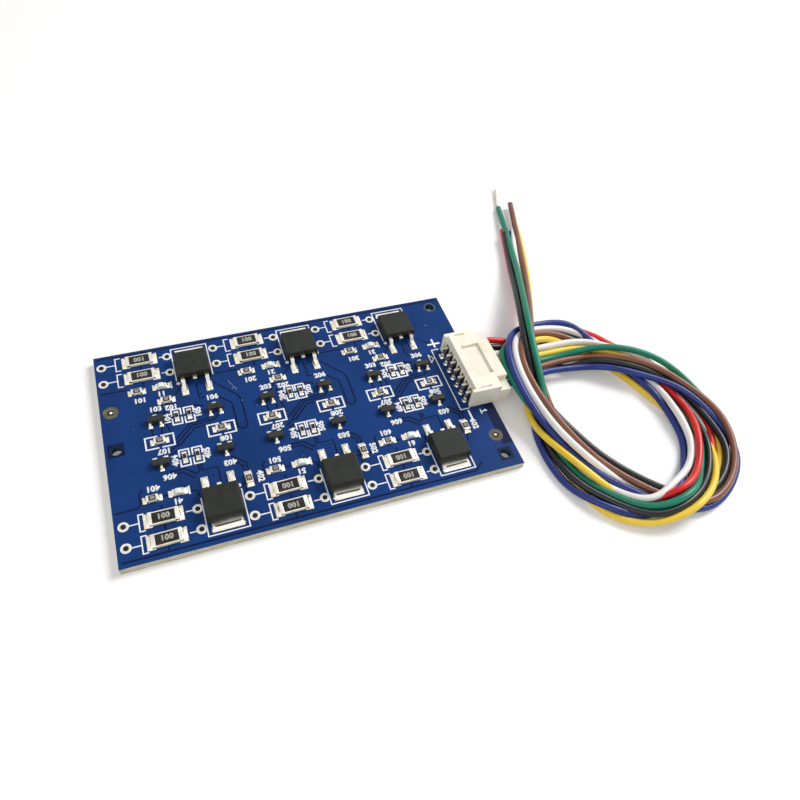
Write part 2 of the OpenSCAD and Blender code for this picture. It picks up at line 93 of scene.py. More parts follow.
# %% Stations and places
STATIONS = [
    (38.4, 0, 90), (41, 0, 90), (45.5, 0, 90), (50.5, 0, 90), (56, -0.8, 85), (62, -1.8, 75),
    (67.5, -4.2, 60), (73.5, -9.5, 44), (78.3, -15.8, 27), (80.4, -23.5, 2), (79.4, -31, -26),
    (75.2, -37, -52), (68, -40.3, -80), (61, -38.8, -118), (55.5, -33.3, -142),
    (50.8, -26.5, -150), (47.2, -19.5, -158), (45, -12.5, -168), (44, -5.5, -178), (45, 1, 160),
    (49, 5, 115), (55, 5.5, 85), (61, 4, 65), (66, -0.5, 40), (69.8, -7, 22), (72.3, -13.5, 12),
    (73.5, -20.5, -1), (72.8, -27.5, -16), (69, -34, -45), (62.5, -38.5, -72), (55, -39, -102),
    (48.5, -35.3, -132), (44.3, -29.5, -155), (42.8, -22.5, -174), (43.8, -15.5, 166),
    (46.8, -8.5, 158), (49, 0, 163), (52.6, 10, 160), (59, 27, 158)
]
PLACES = {
    "red": [
        (6, 4), (6, 4), (5.2, 3.3), (3.4, 1.3), (5.4, 0.7), (8, 0.7), (5.3, 0.7), (2.2, 0.7),
        (-0.5, 0.7), (-1.2, 0.7), (-3.2, 0.7), (-3.6, 0.7), (-3.5, 0.7), (-2.4, 0.7), (-0.7, 0.7),
        (-0.3, 1.2), (0, 3.4), (0.4, 3.5), (0.2, 4.9), (0.8, 5), (1, 3.4), (1.6, 2.3), (2.3, 2.1),
        (2.6, 2), (1.7, 1.95), (2.1, 2), (2.2, 2.1), (0.4, 3.2), (-0.3, 2.9), (-1, 4.6), (-2, 1.5),
        (-1, 0.7), (-3.7, 0.7), (-3.6, 0.7), (-3.4, 0.7), (-0.5, 1.4), (0.9, 3.8), (0.4, 3.5), (1, 0.7)
    ],
    "black": [
        (4, 4), (4, 4), (3.2, 3.1), (1.3, 0.8), (-2.5, 0.9), (-2.2, 2.6), (-2.6, 3.4), (-1.7, 3.6),
        (-1.2, 2.2), (-1.8, 2), (-1.1, 1.95), (-1.4, 1.95), (-1.2, 1.95), (-1.6, 2.1), (-2, 1.3),
        (-1.7, 1.5), (-1.4, 2.9), (-1.3, 3.4), (-1.2, 4.9), (-0.6, 5), (-1.3, 3), (-1.2, 2.5),
        (-0.3, 0.8), (2.2, 0.8), (2.4, 0.7), (2.8, 0.7), (3.1, 0.8), (2.7, 2), (2, 2.2), (1.4, 3.6),
        (1.5, 2.7), (-0.3, 1.9), (0, 1.9), (-0.1, 1.5), (-0.5, 0.7), (1.2, 3.9), (1.9, 6.4), (2, 6.3),
        (1.3, 1.95)
    ],
    "white": [
        (2, 4), (2, 4), (1.8, 3.7), (1.9, 3), (2.7, 2.9), (3.1, 2.9), (1.7, 3.2), (1.3, 3.3),
        (-1.9, 0.9), (-2.6, 0.7), (-4.6, 0.7), (-5, 0.7), (-4, 2), (-1, 0.8), (0.7, 0.8), (1.7, 2.8),
        (2.1, 4.5), (1.1, 4.7), (0.9, 6.2), (0.1, 6.2), (0.3, 4.8), (0.8, 3.6), (1.1, 2.8), (0.9, 2),
        (0.2, 1.95), (0.3, 2.1), (-1, 2.8), (-0.9, 2.2), (-1.7, 2.2), (-3, 3.2), (-1.6, 2.9),
        (-3, 1.7), (-3, 2), (-2.9, 1.95), (-2.5, 2.5), (0, 2.7), (-0.5, 3.8), (-0.9, 3.3), (-0.2, 1.95)
    ],
    "yellow": [
        (0, 4), (0, 4), (0.2, 3.2), (0.6, 2.2), (1.4, 2.2), (1.8, 2.1), (0.2, 3.2), (-0.2, 3.2),
        (0.5, 2), (0.2, 0.7), (-1.8, 0.7), (-2.2, 0.7), (-1.9, 0.7), (0.6, 0.7), (3.6, 0.8), (4.5, 3),
        (4, 2.7), (3, 2.1), (-1.4, 3.8), (-2, 4.9), (-2.4, 4.4), (-2.2, 3.6), (-1.7, 0.8), (-2.6, 0.7),
        (-2.1, 0.7), (-2, 0.7), (-0.4, 0.7), (3.6, 0.8), (3.4, 2.4), (2.9, 3.5), (2.5, 1.5),
        (1.9, 0.7), (-0.4, 0.7), (-1.35, 0.7), (-2, 1.2), (-1.1, 2.4), (0, 5), (-0.7, 4.8), (-3, 0.7)
    ],
    "green": [
        (-2, 4), (-2, 4), (-1.5, 3.3), (-0.9, 2.3), (0, 2.2), (0.4, 3.5), (0.9, 4.5), (2.3, 4.3),
        (2.2, 2.1), (1.7, 0.7), (-0.4, 0.7), (-0.6, 0.7), (-0.5, 0.7), (2.1, 0.7), (2.1, 0.7),
        (1.15, 1.2), (1.4, 3.4), (2.1, 3.4), (2.65, 5), (2.6, 5), (-0.4, 3.7), (0.2, 2.3), (0.9, 1.4),
        (0.6, 0.7), (0.9, 0.7), (1.3, 0.7), (1.6, 0.8), (1.2, 2), (0.6, 1.8), (0.5, 4.7), (0, 2.8),
        (-1.7, 1.9), (-1.8, 1.3), (-1.3, 1.9), (-1.2, 2.5), (0, 5), (0.7, 7.5), (1, 7.2), (0.3, 3.1)
    ],
    "brown": [
        (-4, 4), (-4, 4), (-3.3, 3.3), (-2.5, 2.4), (-1.35, 2.3), (-0.8, 2.2), (-1.2, 3.6),
        (-0.6, 4.5), (-0.4, 3.5), (0.9, 2.9), (0.3, 2.5), (0.1, 1.95), (0.3, 1.95), (-0.2, 2.1),
        (0, 2.1), (0.4, 2.5), (0.7, 4.6), (-0.4, 4.7), (-0.5, 6.1), (-1.3, 6.1), (-1.1, 5.1),
        (-0.6, 3.7), (-0.7, 2.1), (-1.1, 0.8), (-0.6, 0.7), (-0.4, 0.8), (0.1, 2.1), (-0.2, 0.8),
        (-0.9, 1.1), (-0.1, 3.5), (-0.5, 1.4), (0.4, 0.7), (-5.1, 0.7), (-5.1, 0.7), (-3.5, 1.95),
        (-0.5, 3.9), (0.45, 6.3), (-0.3, 6.2), (-2, 1.75)
    ],
    "blue": [
        (-6, 4), (-6, 4), (-5.2, 3.2), (-4.1, 2.4), (-3.6, 2.2), (-3.6, 2.2), (-4, 3.2), (-3, 3.2),
        (-1.9, 3.4), (-0.4, 2.1), (1.4, 1.2), (0.9, 0.7), (1, 0.7), (1.5, 2.1), (2.2, 2), (2.7, 1.8),
        (2.8, 3.2), (2.5, 4.4), (2.3, 6.2), (1.5, 6.2), (1.7, 4.6), (2.2, 3.5), (2.4, 3.5),
        (-0.4, 2.1), (-1.3, 1.95), (-1.3, 1.95), (-1.6, 1.2), (-1.7, 0.8), (-2.4, 0.9), (-1.6, 3.4),
        (1, 1.4), (1.1, 1.9), (1.3, 0.7), (1, 0.7), (1, 0.7), (1.2, 2.6), (1.45, 5), (1.1, 4.9),
        (-0.4, 0.7)
    ],
}
TIPS = {
    "red": (62.9, 42.5, 0.7),
    "black": (62, 40, 1.9),
    "white": (65.6, 42.3, 0.7),
    "yellow": (67, 42.9, 0.7),
    "green": (65.7, 51.1, 0.8),
    "brown": (69.2, 51.4, 1.4),
    "blue": (64.4, 41.2, 0.7),
}
print("stations:", len(STATIONS), "wires:", len(PLACES))

# %% [markdown]
# ## From places to a smooth wire
# A wire can't turn a corner, so its line is a cubic B-spline: each piece of it blends four
# neighbouring places. Shifting every place a little first keeps the line near all of them.
# A wire also can't sink into the table, so its height never drops below half its thickness.

# %% Draw the wires
WIRE = 1.4
STEPS = 10


def route(name):
    """The points that a wire passes, in millimetres."""
    points = []
    for (x, y, turn), (across, height) in zip(STATIONS, PLACES[name]):
        a = math.radians(turn)
        points.append(Vector((x + across * math.cos(a), y + across * math.sin(a), height)))
    return points + [Vector(TIPS[name])]


def smooth(points):
    """A B-spline near the points, in metres, with a few steps between two of them."""
    shifted = [points[0]]
    for before, here, after in zip(points, points[1:], points[2:]):
        shifted.append(here - (before - 2 * here + after) / 6)
    shifted.append(points[-1])
    ends = [2 * shifted[0] - shifted[1], 2 * shifted[-1] - shifted[-2]]
    knots = [ends[0]] + shifted + [ends[1]]
    line = []
    for k in range((len(points) - 1) * STEPS + 1):
        i = min(k // STEPS, len(points) - 2)
        t = k / STEPS - i
        a, b, c, d = knots[i:i + 4]
        p = (1 - t) ** 3 * a + (3 * t ** 3 - 6 * t ** 2 + 4) * b
        p = (p + (-3 * t ** 3 + 3 * t ** 2 + 3 * t + 1) * c + t ** 3 * d) / 6
        p.z = max(p.z, WIRE / 2)
        line.append(p * MM)
    return line


def wire(name):
    """A round wire as a curve with thickness."""
    line = smooth(route(name))
    data = bpy.data.curves.new(name + "_insulation", "CURVE")
    data.dimensions = "3D"
    data.bevel_depth = WIRE / 2 * MM
    data.bevel_resolution = 4
    data.use_fill_caps = True
    spline = data.splines.new("POLY")
    spline.points.add(len(line) - 1)
    for point, p in zip(spline.points, line):
        point.co = (p.x, p.y, p.z, 1)
    spline.use_smooth = True
    length = sum((q - p).length for p, q in zip(line, line[1:]))
    print(name, "wire:", round(length * 1000, 1), "mm")
    return show(bpy.data.objects.new(name + "_insulation", data))


wires = {name: wire(name) for name in PLACES}

# %% [markdown]
# ## Finishes
# Nothing real is one flat colour. One helper builds every plain finish: two close colours
# mixed by noise, a roughness that wanders with it, and fine relief. The sizes of the noise
# are in millimetres of the object, so a speck is as large on a chip as on the board.

# %% A helper for finishes
BUMP_DEPTH = 0.0001


def link(tree, start, out, end, into):
    tree.links.new(start.outputs[out], end.inputs[into])


def settle(node, **values):
    """Write plain values into a node's inputs; an underscore stands for a space."""
    for label, value in values.items():
        node.inputs[label.replace("_", " ")].default_value = value


def new_material(name):
    """A material, its node tree and its shader."""
    material = bpy.data.materials.new(name)
    material.use_nodes = True
    return material, material.node_tree, shader_of(material)


def shader_of(material):
    return material.node_tree.nodes["Principled BSDF"]


def sums(tree, rule, *values):
    """The result of a Math node; each value is a number or the result of another node."""
    node = tree.nodes.new("ShaderNodeMath")
    node.operation = rule
    for place, value in zip(node.inputs, values):
        if isinstance(value, (int, float)):
            place.default_value = value
        else:
            tree.links.new(value, place)
    return node.outputs[0]


def noise(tree, size, detail=3.0, squeeze=(1, 1, 1)):
    """Noise in the object's own coordinates; size is the width of a blotch in millimetres."""
    place = tree.nodes.new("ShaderNodeTexCoord")
    mapping = tree.nodes.new("ShaderNodeMapping")
    blotch = tree.nodes.new("ShaderNodeTexNoise")
    settle(mapping, Scale=[1000 * s / size for s in squeeze])
    settle(blotch, Scale=1.0, Detail=detail)
    link(tree, place, "Object", mapping, "Vector")
    link(tree, mapping, "Vector", blotch, "Vector")
    return blotch.outputs["Fac"]


def between(tree, source, low, high, first=0.35, last=0.65):
    """Map a noise to a range of numbers."""
    ramp = tree.nodes.new("ShaderNodeMapRange")
    for place, value in zip(("From Min", "From Max", "To Min", "To Max"), (first, last, low, high)):
        ramp.inputs[place].default_value = value
    tree.links.new(source, ramp.inputs["Value"])
    return ramp.outputs[0]


def colours(tree, factor, first, second):
    """Mix two colours by a factor; each is three numbers or the result of another node."""
    mix = tree.nodes.new("ShaderNodeMix")
    mix.data_type = "RGBA"
    tree.links.new(factor, mix.inputs[0])
    for place, colour in ((mix.inputs[6], first), (mix.inputs[7], second)):
        if isinstance(colour, tuple):
            place.default_value = (*colour, 1)
        else:
            tree.links.new(colour, place)
    return mix.outputs[2]


def finish(name, first, second, size, rough, relief=(0.2, 0.05), metal=0.0, gloss=0.5):
    """A finish from two colours; relief is the width and the strength of its bumps."""
    material, tree, shader = new_material(name)
    settle(shader, Metallic=metal, Specular_IOR_Level=gloss)
    blotch = noise(tree, size)
    bump = tree.nodes.new("ShaderNodeBump")
    settle(bump, Strength=relief[1], Distance=BUMP_DEPTH)
    tree.links.new(noise(tree, relief[0], 4.0), bump.inputs["Height"])
    tone = colours(tree, between(tree, blotch, 0, 1), first, second)
    tree.links.new(tone, shader.inputs["Base Color"])
    tree.links.new(between(tree, blotch, *rough), shader.inputs["Roughness"])
    link(tree, bump, "Normal", shader, "Normal")
    return material


def six(kind):
    """The names of the six solids of one kind."""
    return [f"{kind}_{n}" for n in range(1, 7)]


def repaint(name, material):
    """A solid of the frame keeps its shape and gets a better finish."""
    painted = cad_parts[name].data.materials
    painted.clear()
    painted.append(material)


def dress(piece, material, slot, *nodes):
    """Give a new piece its finish, let it ride, and let it stand for solids of the frame."""
    piece.data.materials.clear()
    piece.data.materials.append(material)
    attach(piece, "root")
    if nodes:
        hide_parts(*nodes)
    return piece


def compass(sides):
    """Directions all round, as (x, y)."""
    turns = [2 * math.pi * k / sides for k in range(sides)]
    return [(math.cos(a), math.sin(a)) for a in turns]


def stitch(shape, first, second, closed=False):
    """Join two equal rows of points with faces; a closed row runs round."""
    count = len(first)
    for k in range(count if closed else count - 1):
        n = (k + 1) % count
        shape.faces.new((first[k], first[n], second[n], second[k]))


def made(shape, name, outward=True, smooth=False):
    """End a bmesh: an object with its shape, not yet in the scene."""
    if outward:
        bmesh.ops.recalc_face_normals(shape, faces=shape.faces)
    if smooth:
        for face in shape.faces:
            face.smooth = True
    mesh = bpy.data.meshes.new(name)
    shape.to_mesh(mesh)
    shape.free()
    return bpy.data.objects.new(name, mesh)


print("helpers ready")

# %% [markdown]
# ## Wire insulation
# The insulation is soft PVC: a strong colour, a satin gloss, and a faint waviness left by
# the extruder. Dark wires reflect more than they colour, so the gloss does the work there.

# %% Colour the wires
PVC = {
    "red": ((0.58, 0.012, 0.012), (0.68, 0.028, 0.022)),
    "black": ((0.005, 0.006, 0.007), (0.011, 0.013, 0.015)),
    "white": ((0.80, 0.76, 0.73), (0.88, 0.85, 0.83)),
    "yellow": ((0.84, 0.56, 0.045), (0.92, 0.66, 0.075)),
    "green": ((0.004, 0.165, 0.095), (0.008, 0.215, 0.130)),
    "brown": ((0.185, 0.070, 0.038), (0.250, 0.100, 0.058)),
    "blue": ((0.010, 0.022, 0.160), (0.018, 0.040, 0.225)),
}
for name, piece in wires.items():
    pvc = finish(name + "_pvc", *PVC[name], 6.0, (0.26, 0.38), (0.5, 0.12), gloss=0.32)
    dress(piece, pvc, name + "_pvc", name + "_wire")
print("insulated:", ", ".join(wires))

# %% [markdown]
# ## The circuit board
# A board is glass cloth in resin, pale and slightly green where it was sawn, under a thin
# coat of blue lacquer, the solder mask. One material can do both: it reads which way each
# face points, and shows the lacquer on the flat faces and the bare laminate on the cut
# ones, except inside the holes, whose walls get a painted shade. The lacquer is darker where
# no copper lies under it, along the right-hand edge.

# %% Lacquer and laminate
def facing_up(tree):
    """1 on faces that point up or down, 0 on the sides."""
    shape = tree.nodes.new("ShaderNodeNewGeometry")
    split = tree.nodes.new("ShaderNodeSeparateXYZ")
    link(tree, shape, "True Normal", split, 0)
    return sums(tree, "ABSOLUTE", split.outputs["Z"])


def window(tree, **limits):
    """1 between the limits of X and Y, in millimetres from the board's middle, 0 outside."""
    place = tree.nodes.new("ShaderNodeTexCoord")
    split = tree.nodes.new("ShaderNodeSeparateXYZ")
    link(tree, place, "Object", split, 0)
    inside = 1.0
    for axis, (low, high) in limits.items():
        for rule, limit in (("GREATER_THAN", low), ("LESS_THAN", high)):
            inside = sums(tree, "MULTIPLY", inside, sums(tree, rule, split.outputs[axis], limit * MM))
    return inside


MASK_LIGHT = (0.010, 0.046, 0.190)
MASK_DEEP = (0.009, 0.036, 0.146)
MASK_BARE = (0.006, 0.011, 0.050)
LAMINATE = ((0.44, 0.41, 0.30), (0.64, 0.61, 0.49))
HOLE_WALL_SHADE = (0.035, 0.060, 0.090)
SAWN_ROUGHNESS = 0.75

board_finish = finish("blue_mask", MASK_DEEP, MASK_LIGHT, 9.0, (0.30, 0.38), (0.45, 0.10), gloss=0.07)
tree = board_finish.node_tree
shader = shader_of(board_finish)
mask_colour = shader.inputs["Base Color"].links[0].from_socket
mask_rough = shader.inputs["Roughness"].links[0].from_socket

# Bare band under the lacquer at the right-hand edge
lacquer = colours(tree, window(tree, X=(34.4, 36.7), Y=(-17.9, -8.0)), mask_colour, MASK_BARE)

# Sawn laminate: layers of glass seen from the side
layers = noise(tree, 0.35, 5.0, (0.15, 0.15, 1.0))
glass = colours(tree, between(tree, layers, 0, 1), *LAMINATE)

# Painted shade: the cut faces inside the board's outline, the walls of the holes, are coloured dark
# blue-grey
wall = colours(tree, window(tree, X=(-36.5, 36.5), Y=(-22.8, 22.8)), glass, HOLE_WALL_SHADE)

up = facing_up(tree)
tree.links.new(colours(tree, up, wall, lacquer), shader.inputs["Base Color"])
rough_mix = tree.nodes.new("ShaderNodeMix")
rough_mix.inputs[2].default_value = SAWN_ROUGHNESS
tree.links.new(up, rough_mix.inputs[0])
tree.links.new(mask_rough, rough_mix.inputs[3])
link(tree, rough_mix, 0, shader, "Roughness")
repaint("circuit_board", board_finish)
print("board finish has", len(tree.nodes), "nodes")

# %% [markdown]
# ## Solder, ink and tinned metal
# Solder that has melted and set is bright, a little warm, and never quite smooth. The
# plating in the holes is the same metal. The printed ink is matt and lets a little of the
# blue through where it is thin.

# %% Finish the pads and the legend
solder = finish("solder", (0.78, 0.70, 0.55), (0.93, 0.89, 0.78), 1.1, (0.20, 0.36),
                (0.50, 0.08), metal=1.0)
tinned = finish("tinned_leads", (0.76, 0.70, 0.60), (0.90, 0.87, 0.80), 1.8, (0.22, 0.36),
                (0.30, 0.06), metal=1.0)
ink = finish("legend_ink", (0.80, 0.82, 0.85), (0.93, 0.93, 0.92), 0.8, (0.55, 0.75),
             (0.10, 0.20), gloss=0.2)
repaint("solder_pads", solder)
repaint("printed_legend", ink)
print("pads and legend finished")

# %% [markdown]
# ## Where the parts stand
# The board carries six nearly equal cells: three along the back edge, and three along the
# front edge, turned half round. The places are millimetres from the front left corner.

# %% Places on the board
MOSFETS_UP = [(17.95, 38.6), (39.4, 38.6), (60.6, 38.6)]
MOSFETS_DOWN = [(17.95, 6.95), (39.2, 6.95), (60.2, 6.95)]
POWER_UP = [(8.4, 43), (8.4, 38.9), (29.5, 43), (29.5, 38.9), (50.9, 43), (50.9, 38.9)]
POWER_DOWN = [(8, 7.4), (8, 3.3), (29.3, 7.4), (29.3, 3.3), (50.7, 7.4), (50.7, 3.3)]
LEDS = [(11.5, 35.5), (32.6, 35.5), (53.9, 35.5), (11, 11.5), (32.7, 11.5), (54.1, 11.7)]
LED_RESISTORS = [(7, 35.2), (27.8, 35.1), (49.2, 35.1), (6.7, 11.35), (28, 11.35), (49.5, 11.6)]
GATE_FLAT = [(11.95, 31.9), (33.35, 31.8), (54.95, 31.8)]
GATE_UPRIGHT = [(23.15, 10.8), (44.5, 10.9), (65.4, 10.9)]
SENSE = [(9.5, 22.9), (20.6, 22.9), (30.15, 23), (41.75, 23), (51.9, 23), (62.4, 23)]
DIVIDER_A = [(13.2, 27.7), (34.8, 27.7), (56.1, 27.7), (13.2, 18.3), (34.8, 18.5), (56.1, 19)]
DIVIDER_B = [(15.5, 27.7), (36.9, 27.7), (58.1, 27.7), (15.5, 18.3), (36.9, 18.5), (58.2, 19)]
# Three-legged packages: the last number is the side with the single leg
DRIVERS = [(9.35, 27.6, 1), (30.2, 27.6, 1), (51.95, 27.6, 1), (20.45, 18.1, -1),
           (41.8, 18.3, -1), (62.5, 18.4, -1)]
REFERENCES = [(20.3, 27.7, 1), (41.7, 27.7, 1), (62.6, 27.7, 1), (9.1, 18, -1), (29.7, 18.3, -1),
              (51.75, 18.5, -1)]
print("chips:", sum(map(len, (LED_RESISTORS, GATE_FLAT, GATE_UPRIGHT, SENSE, DIVIDER_A, DIVIDER_B))))

# %% [markdown]
# ## One tree that sets parts on the board
# Nearly everything here repeats. A point for each place, and a Geometry Nodes tree that
# puts the same small part on every point, keep all copies equal, and one change reaches
# them all. Each point carries its own turn. A machine places real parts a touch crooked, so
# the tree adds a small random turn with a fixed seed. It ends by making the copies real
# and giving them their finish, and the result is then kept as a plain mesh.

# %% Build the tree
def new_tree(name, **inputs):
    """A Geometry Nodes tree with its inputs and one output, and the nodes for both."""
    tree = bpy.data.node_groups.new(name, "GeometryNodeTree")
    for label, kind in inputs.items():
        tree.interface.new_socket(label, in_out="INPUT", socket_type="NodeSocket" + kind)
    tree.interface.new_socket("Geometry", in_out="OUTPUT", socket_type="NodeSocketGeometry")
    return tree, tree.nodes.new("NodeGroupInput"), tree.nodes.new("NodeGroupOutput")


def end_tree(tree, start, geometry, end):
    """Make the copies real, and give them the finish that came in."""
    real = tree.nodes.new("GeometryNodeRealizeInstances")
    paint = tree.nodes.new("GeometryNodeSetMaterial")
    link(tree, geometry, 0, real, 0)
    link(tree, real, 0, paint, "Geometry")
    link(tree, start, "Finish", paint, "Material")
    link(tree, paint, 0, end, "Geometry")


def placing_tree():
    tree, start, end = new_tree("set_on_board", Places="Geometry", Part="Object", Finish="Material",
                                Crooked="Float", Seed="Int")
    turn = tree.nodes.new("GeometryNodeInputNamedAttribute")
    turn.data_type = "FLOAT"
    settle(turn, Name="turn")
    chance = tree.nodes.new("FunctionNodeRandomValue")
    chance.data_type = "FLOAT"
    euler = tree.nodes.new("ShaderNodeCombineXYZ")
    part = tree.nodes.new("GeometryNodeObjectInfo")
    copies = tree.nodes.new("GeometryNodeInstanceOnPoints")
    tree.links.new(sums(tree, "MULTIPLY", start.outputs["Crooked"], -1.0), chance.inputs[2])
    link(tree, start, "Crooked", chance, 3)
    link(tree, start, "Seed", chance, "Seed")
    tree.links.new(sums(tree, "ADD", turn.outputs[0], chance.outputs[1]), euler.inputs["Z"])
    link(tree, start, "Places", copies, "Points")
    link(tree, start, "Part", part, "Object")
    link(tree, part, "Geometry", copies, "Instance")
    link(tree, euler, 0, copies, "Rotation")
    end_tree(tree, start, copies, end)
    return tree


PLACING = placing_tree()


def keep_plain(piece):
    """Turn an object with modifiers into a plain mesh."""
    view = bpy.context.evaluated_depsgraph_get()
    mesh = bpy.data.meshes.new_from_object(piece.evaluated_get(view))
    piece.modifiers.clear()
    piece.data = mesh


def run_tree(piece, tree, **settings):
    """Put a tree with its settings on an object, and keep what comes out as a plain mesh."""
    rule = piece.modifiers.new("rule", "NODES")
    rule.node_group = tree
    for item in tree.interface.items_tree:
        if item.in_out == "INPUT" and item.name in settings:
            rule[item.identifier] = settings[item.name]
    keep_plain(piece)


# How crooked parts may stand, in degrees, and the seed of their small turns. Solder and
# cones are round, so they may turn far: it only hides that they are copies.
STRAIGHT = (0.0, 1)
CHIPS = (1.2, 3)
PACKAGES = (1.5, 5)
FEET = (25.0, 6)
LEADS = (4.0, 8)
LAMPS = (1.2, 9)
CONES = (40.0, 11)
TABS = (1.0, 12)


def set_parts(name, part, material, slot, places, crooked=STRAIGHT, nodes=()):
    """Copies of a part at places (x, y, turn in degrees[, height]), as one dressed piece."""
    limit, seed = crooked
    mesh = bpy.data.meshes.new(name)
    mesh.from_pydata([spot(x, y, *height) for x, y, turn, *height in places], [], [])
    turns = mesh.attributes.new("turn", "FLOAT", "POINT")
    for value, place in zip(turns.data, places):
        value.value = math.radians(place[2])
    piece = show(bpy.data.objects.new(name, mesh))
    run_tree(piece, PLACING, Part=part, Finish=material, Crooked=math.radians(limit), Seed=seed)
    print(name, len(places), "copies,", len(piece.data.polygons), "faces")
    dress(piece, material, slot, *nodes)


# %% [markdown]
# ## Small blocks with soft edges
# Chips, caps and bodies are blocks, but no edge on them is sharp: ceramic chips are tumbled
# and plastic is moulded. A block whose edges are bevelled catches a thin line of light.

# %% Make blocks
def block(shape, size, centre, soft, draft=0.0):
    """Add a block to a bmesh, in millimetres, with its top drawn in by draft."""
    corners = bmesh.ops.create_cube(shape, size=1.0)["verts"]
    for v in corners:
        x, y, z = (v.co[i] * size[i] for i in range(3))
        if z > 0:
            x -= math.copysign(draft, x)
            y -= math.copysign(draft, y)
        v.co = Vector((x + centre[0], y + centre[1], z + centre[2])) * MM
    edges = list({e for v in corners for e in v.link_edges})
    bmesh.ops.bevel(shape, geom=edges, offset=soft * MM, segments=2, affect="EDGES", profile=0.6)


def pattern(name, *blocks):
    """An object that only serves as the part to copy."""
    shape = bmesh.new()
    for size, centre, soft, draft in blocks:
        block(shape, size, centre, soft, draft)
    return made(shape, name)


def on_pads(places):
    """The same places (x, y, turn) for solder: a hair lower, so that it sinks into the pad."""
    return [(x, y, turn, TOP - 0.01) for x, y, turn in places]


print("blocks ready")

# %% [markdown]
# ## Chip resistors
# A chip resistor is a slip of white ceramic with a black glass coat on top and a tinned cap
# wrapped round each end. So it is three parts, and each is set on the board in its own
# finish. The solder climbs from the pad up each cap in a hollow curve, a fillet.

# %% Patterns for a chip
ceramic = finish("ceramic", (0.78, 0.73, 0.60), (0.90, 0.86, 0.75), 1.2, (0.45, 0.65),
                 (0.12, 0.15), gloss=0.3)
overcoat = finish("black_overcoat", (0.010, 0.009, 0.008), (0.024, 0.021, 0.018), 0.9, (0.28, 0.45),
                  (0.15, 0.15), gloss=0.25)
# Length, width, height and the length of a cap, in millimetres
CHIP_SIZES = {
    "flat": (2.0, 1.25, 0.55, 0.40),
    "small": (1.6, 0.8, 0.45, 0.30),
    "power": (5.0, 2.5, 0.60, 0.62),
}


def chip_patterns(name):
    long, wide, high, cap = CHIP_SIZES[name]
    middle = (0, 0, high / 2 - 0.035)
    body = pattern(name + "_slip", ((long - 0.1, wide - 0.06, high - 0.07), middle, 0.03, 0))
    glass = (long - 2 * cap, wide * 0.80, 0.08)
    coat = pattern(name + "_coat", (glass, (0, 0, high - 0.045), 0.025, 0.02))
    tall = high - 0.01
    caps = pattern(name + "_caps", *[
        ((cap, wide, tall), (s * (long - cap) / 2, 0, tall / 2), 0.06, 0) for s in (-1, 1)])
    return body, coat, caps


ACROSS = 8


def fillet_pattern(name, inner, reach, wide, high, steps=7, ends=(-1, 1)):
    """Hollow slopes of solder, from the ends of a part down to the ends of its pads."""
    shape = bmesh.new()
    for side in ends:
        rows = []
        for k in range(steps + 1):
            t = k / steps
            out = inner + reach * t
            rise = high * (1 - t) ** 2.2 + 0.012
            half = wide / 2 * (1 + 0.18 * math.sin(math.pi * min(t * 1.4, 1)) - 0.12 * t)
            row = []
            for j in range(ACROSS + 1):
                u = -1 + 2 * j / ACROSS
                sag = 1 - 0.9 * abs(u) ** 3
                row.append(shape.verts.new(Vector((side * out, u * half, rise * sag)) * MM))
            rows.append(row)
        feet = [[shape.verts.new((v.co.x, v.co.y, 0)) for v in row] for row in rows]
        for grid in (rows, feet):
            for a, b in zip(grid, grid[1:]):
                stitch(shape, a, b)
        for end in (0, -1):
            stitch(shape, rows[end], feet[end])
            stitch(shape, [row[end] for row in rows], [foot[end] for foot in feet])
    return made(shape, name, smooth=True)


print("patterns for", ", ".join(CHIP_SIZES))

# %% Set the chips
level_chips = [(x, y, 0) for x, y in LED_RESISTORS + GATE_FLAT + SENSE]
CHIP_PLACES = {
    "flat": level_chips + [(x, y, 90) for x, y in GATE_UPRIGHT],
    "small": [(x, y, 90) for x, y in DIVIDER_A + DIVIDER_B],
    "power": [(x, y, 0) for x, y in POWER_UP + POWER_DOWN],
}
CHIP_NODES = {
    "flat": ["led_resistors", "gate_resistors", "sense_resistors"],
    "small": ["divider_resistors_a", "divider_resistors_b"],
    "power": six("power_resistors"),
}
# Where the fillet starts, how far it reaches, and its width
PAD_ENDS = {"flat": (1.0, 0.60, 1.2), "small": (0.8, 0.40, 0.78), "power": (2.5, 0.73, 2.4)}
for name, places in CHIP_PLACES.items():
    body, coat, caps = chip_patterns(name)
    set_parts(name + "_slips", body, ceramic, "ceramic_chip", places, CHIPS, CHIP_NODES[name])
    set_parts(name + "_coats", coat, overcoat, "ceramic_chip", places, CHIPS)
    set_parts(name + "_caps", caps, tinned, "tinned_leads", places, CHIPS)
    slope = fillet_pattern(name + "_slope", *PAD_ENDS[name], CHIP_SIZES[name][2] * 0.8)
    set_parts(name + "_fillets", slope, solder, "solder", on_pads(places), CHIPS)

# %% [markdown]
# ## Moulded packages with legs
# The small three-legged packages are one block of black plastic with tinned legs that bend
# down and out. The legs are one outline pushed through their width, so the same helper
# makes any of them.

# %% Small packages
moulded = finish("moulded_black", (0.010, 0.011, 0.010), (0.021, 0.022, 0.020), 1.6, (0.42, 0.58),
                 (0.12, 0.35), gloss=0.3)


def extrude(shape, outline, width, x, flip=1):
    """Push an outline of (y, z) millimetres through a width along x."""
    sides = []
    for wall in (x - width / 2, x + width / 2):
        sides.append([shape.verts.new(Vector((wall, flip * y, z)) * MM) for y, z in outline])
    shape.faces.new(sides[0])
    shape.faces.new(sides[1])
    stitch(shape, *sides, closed=True)


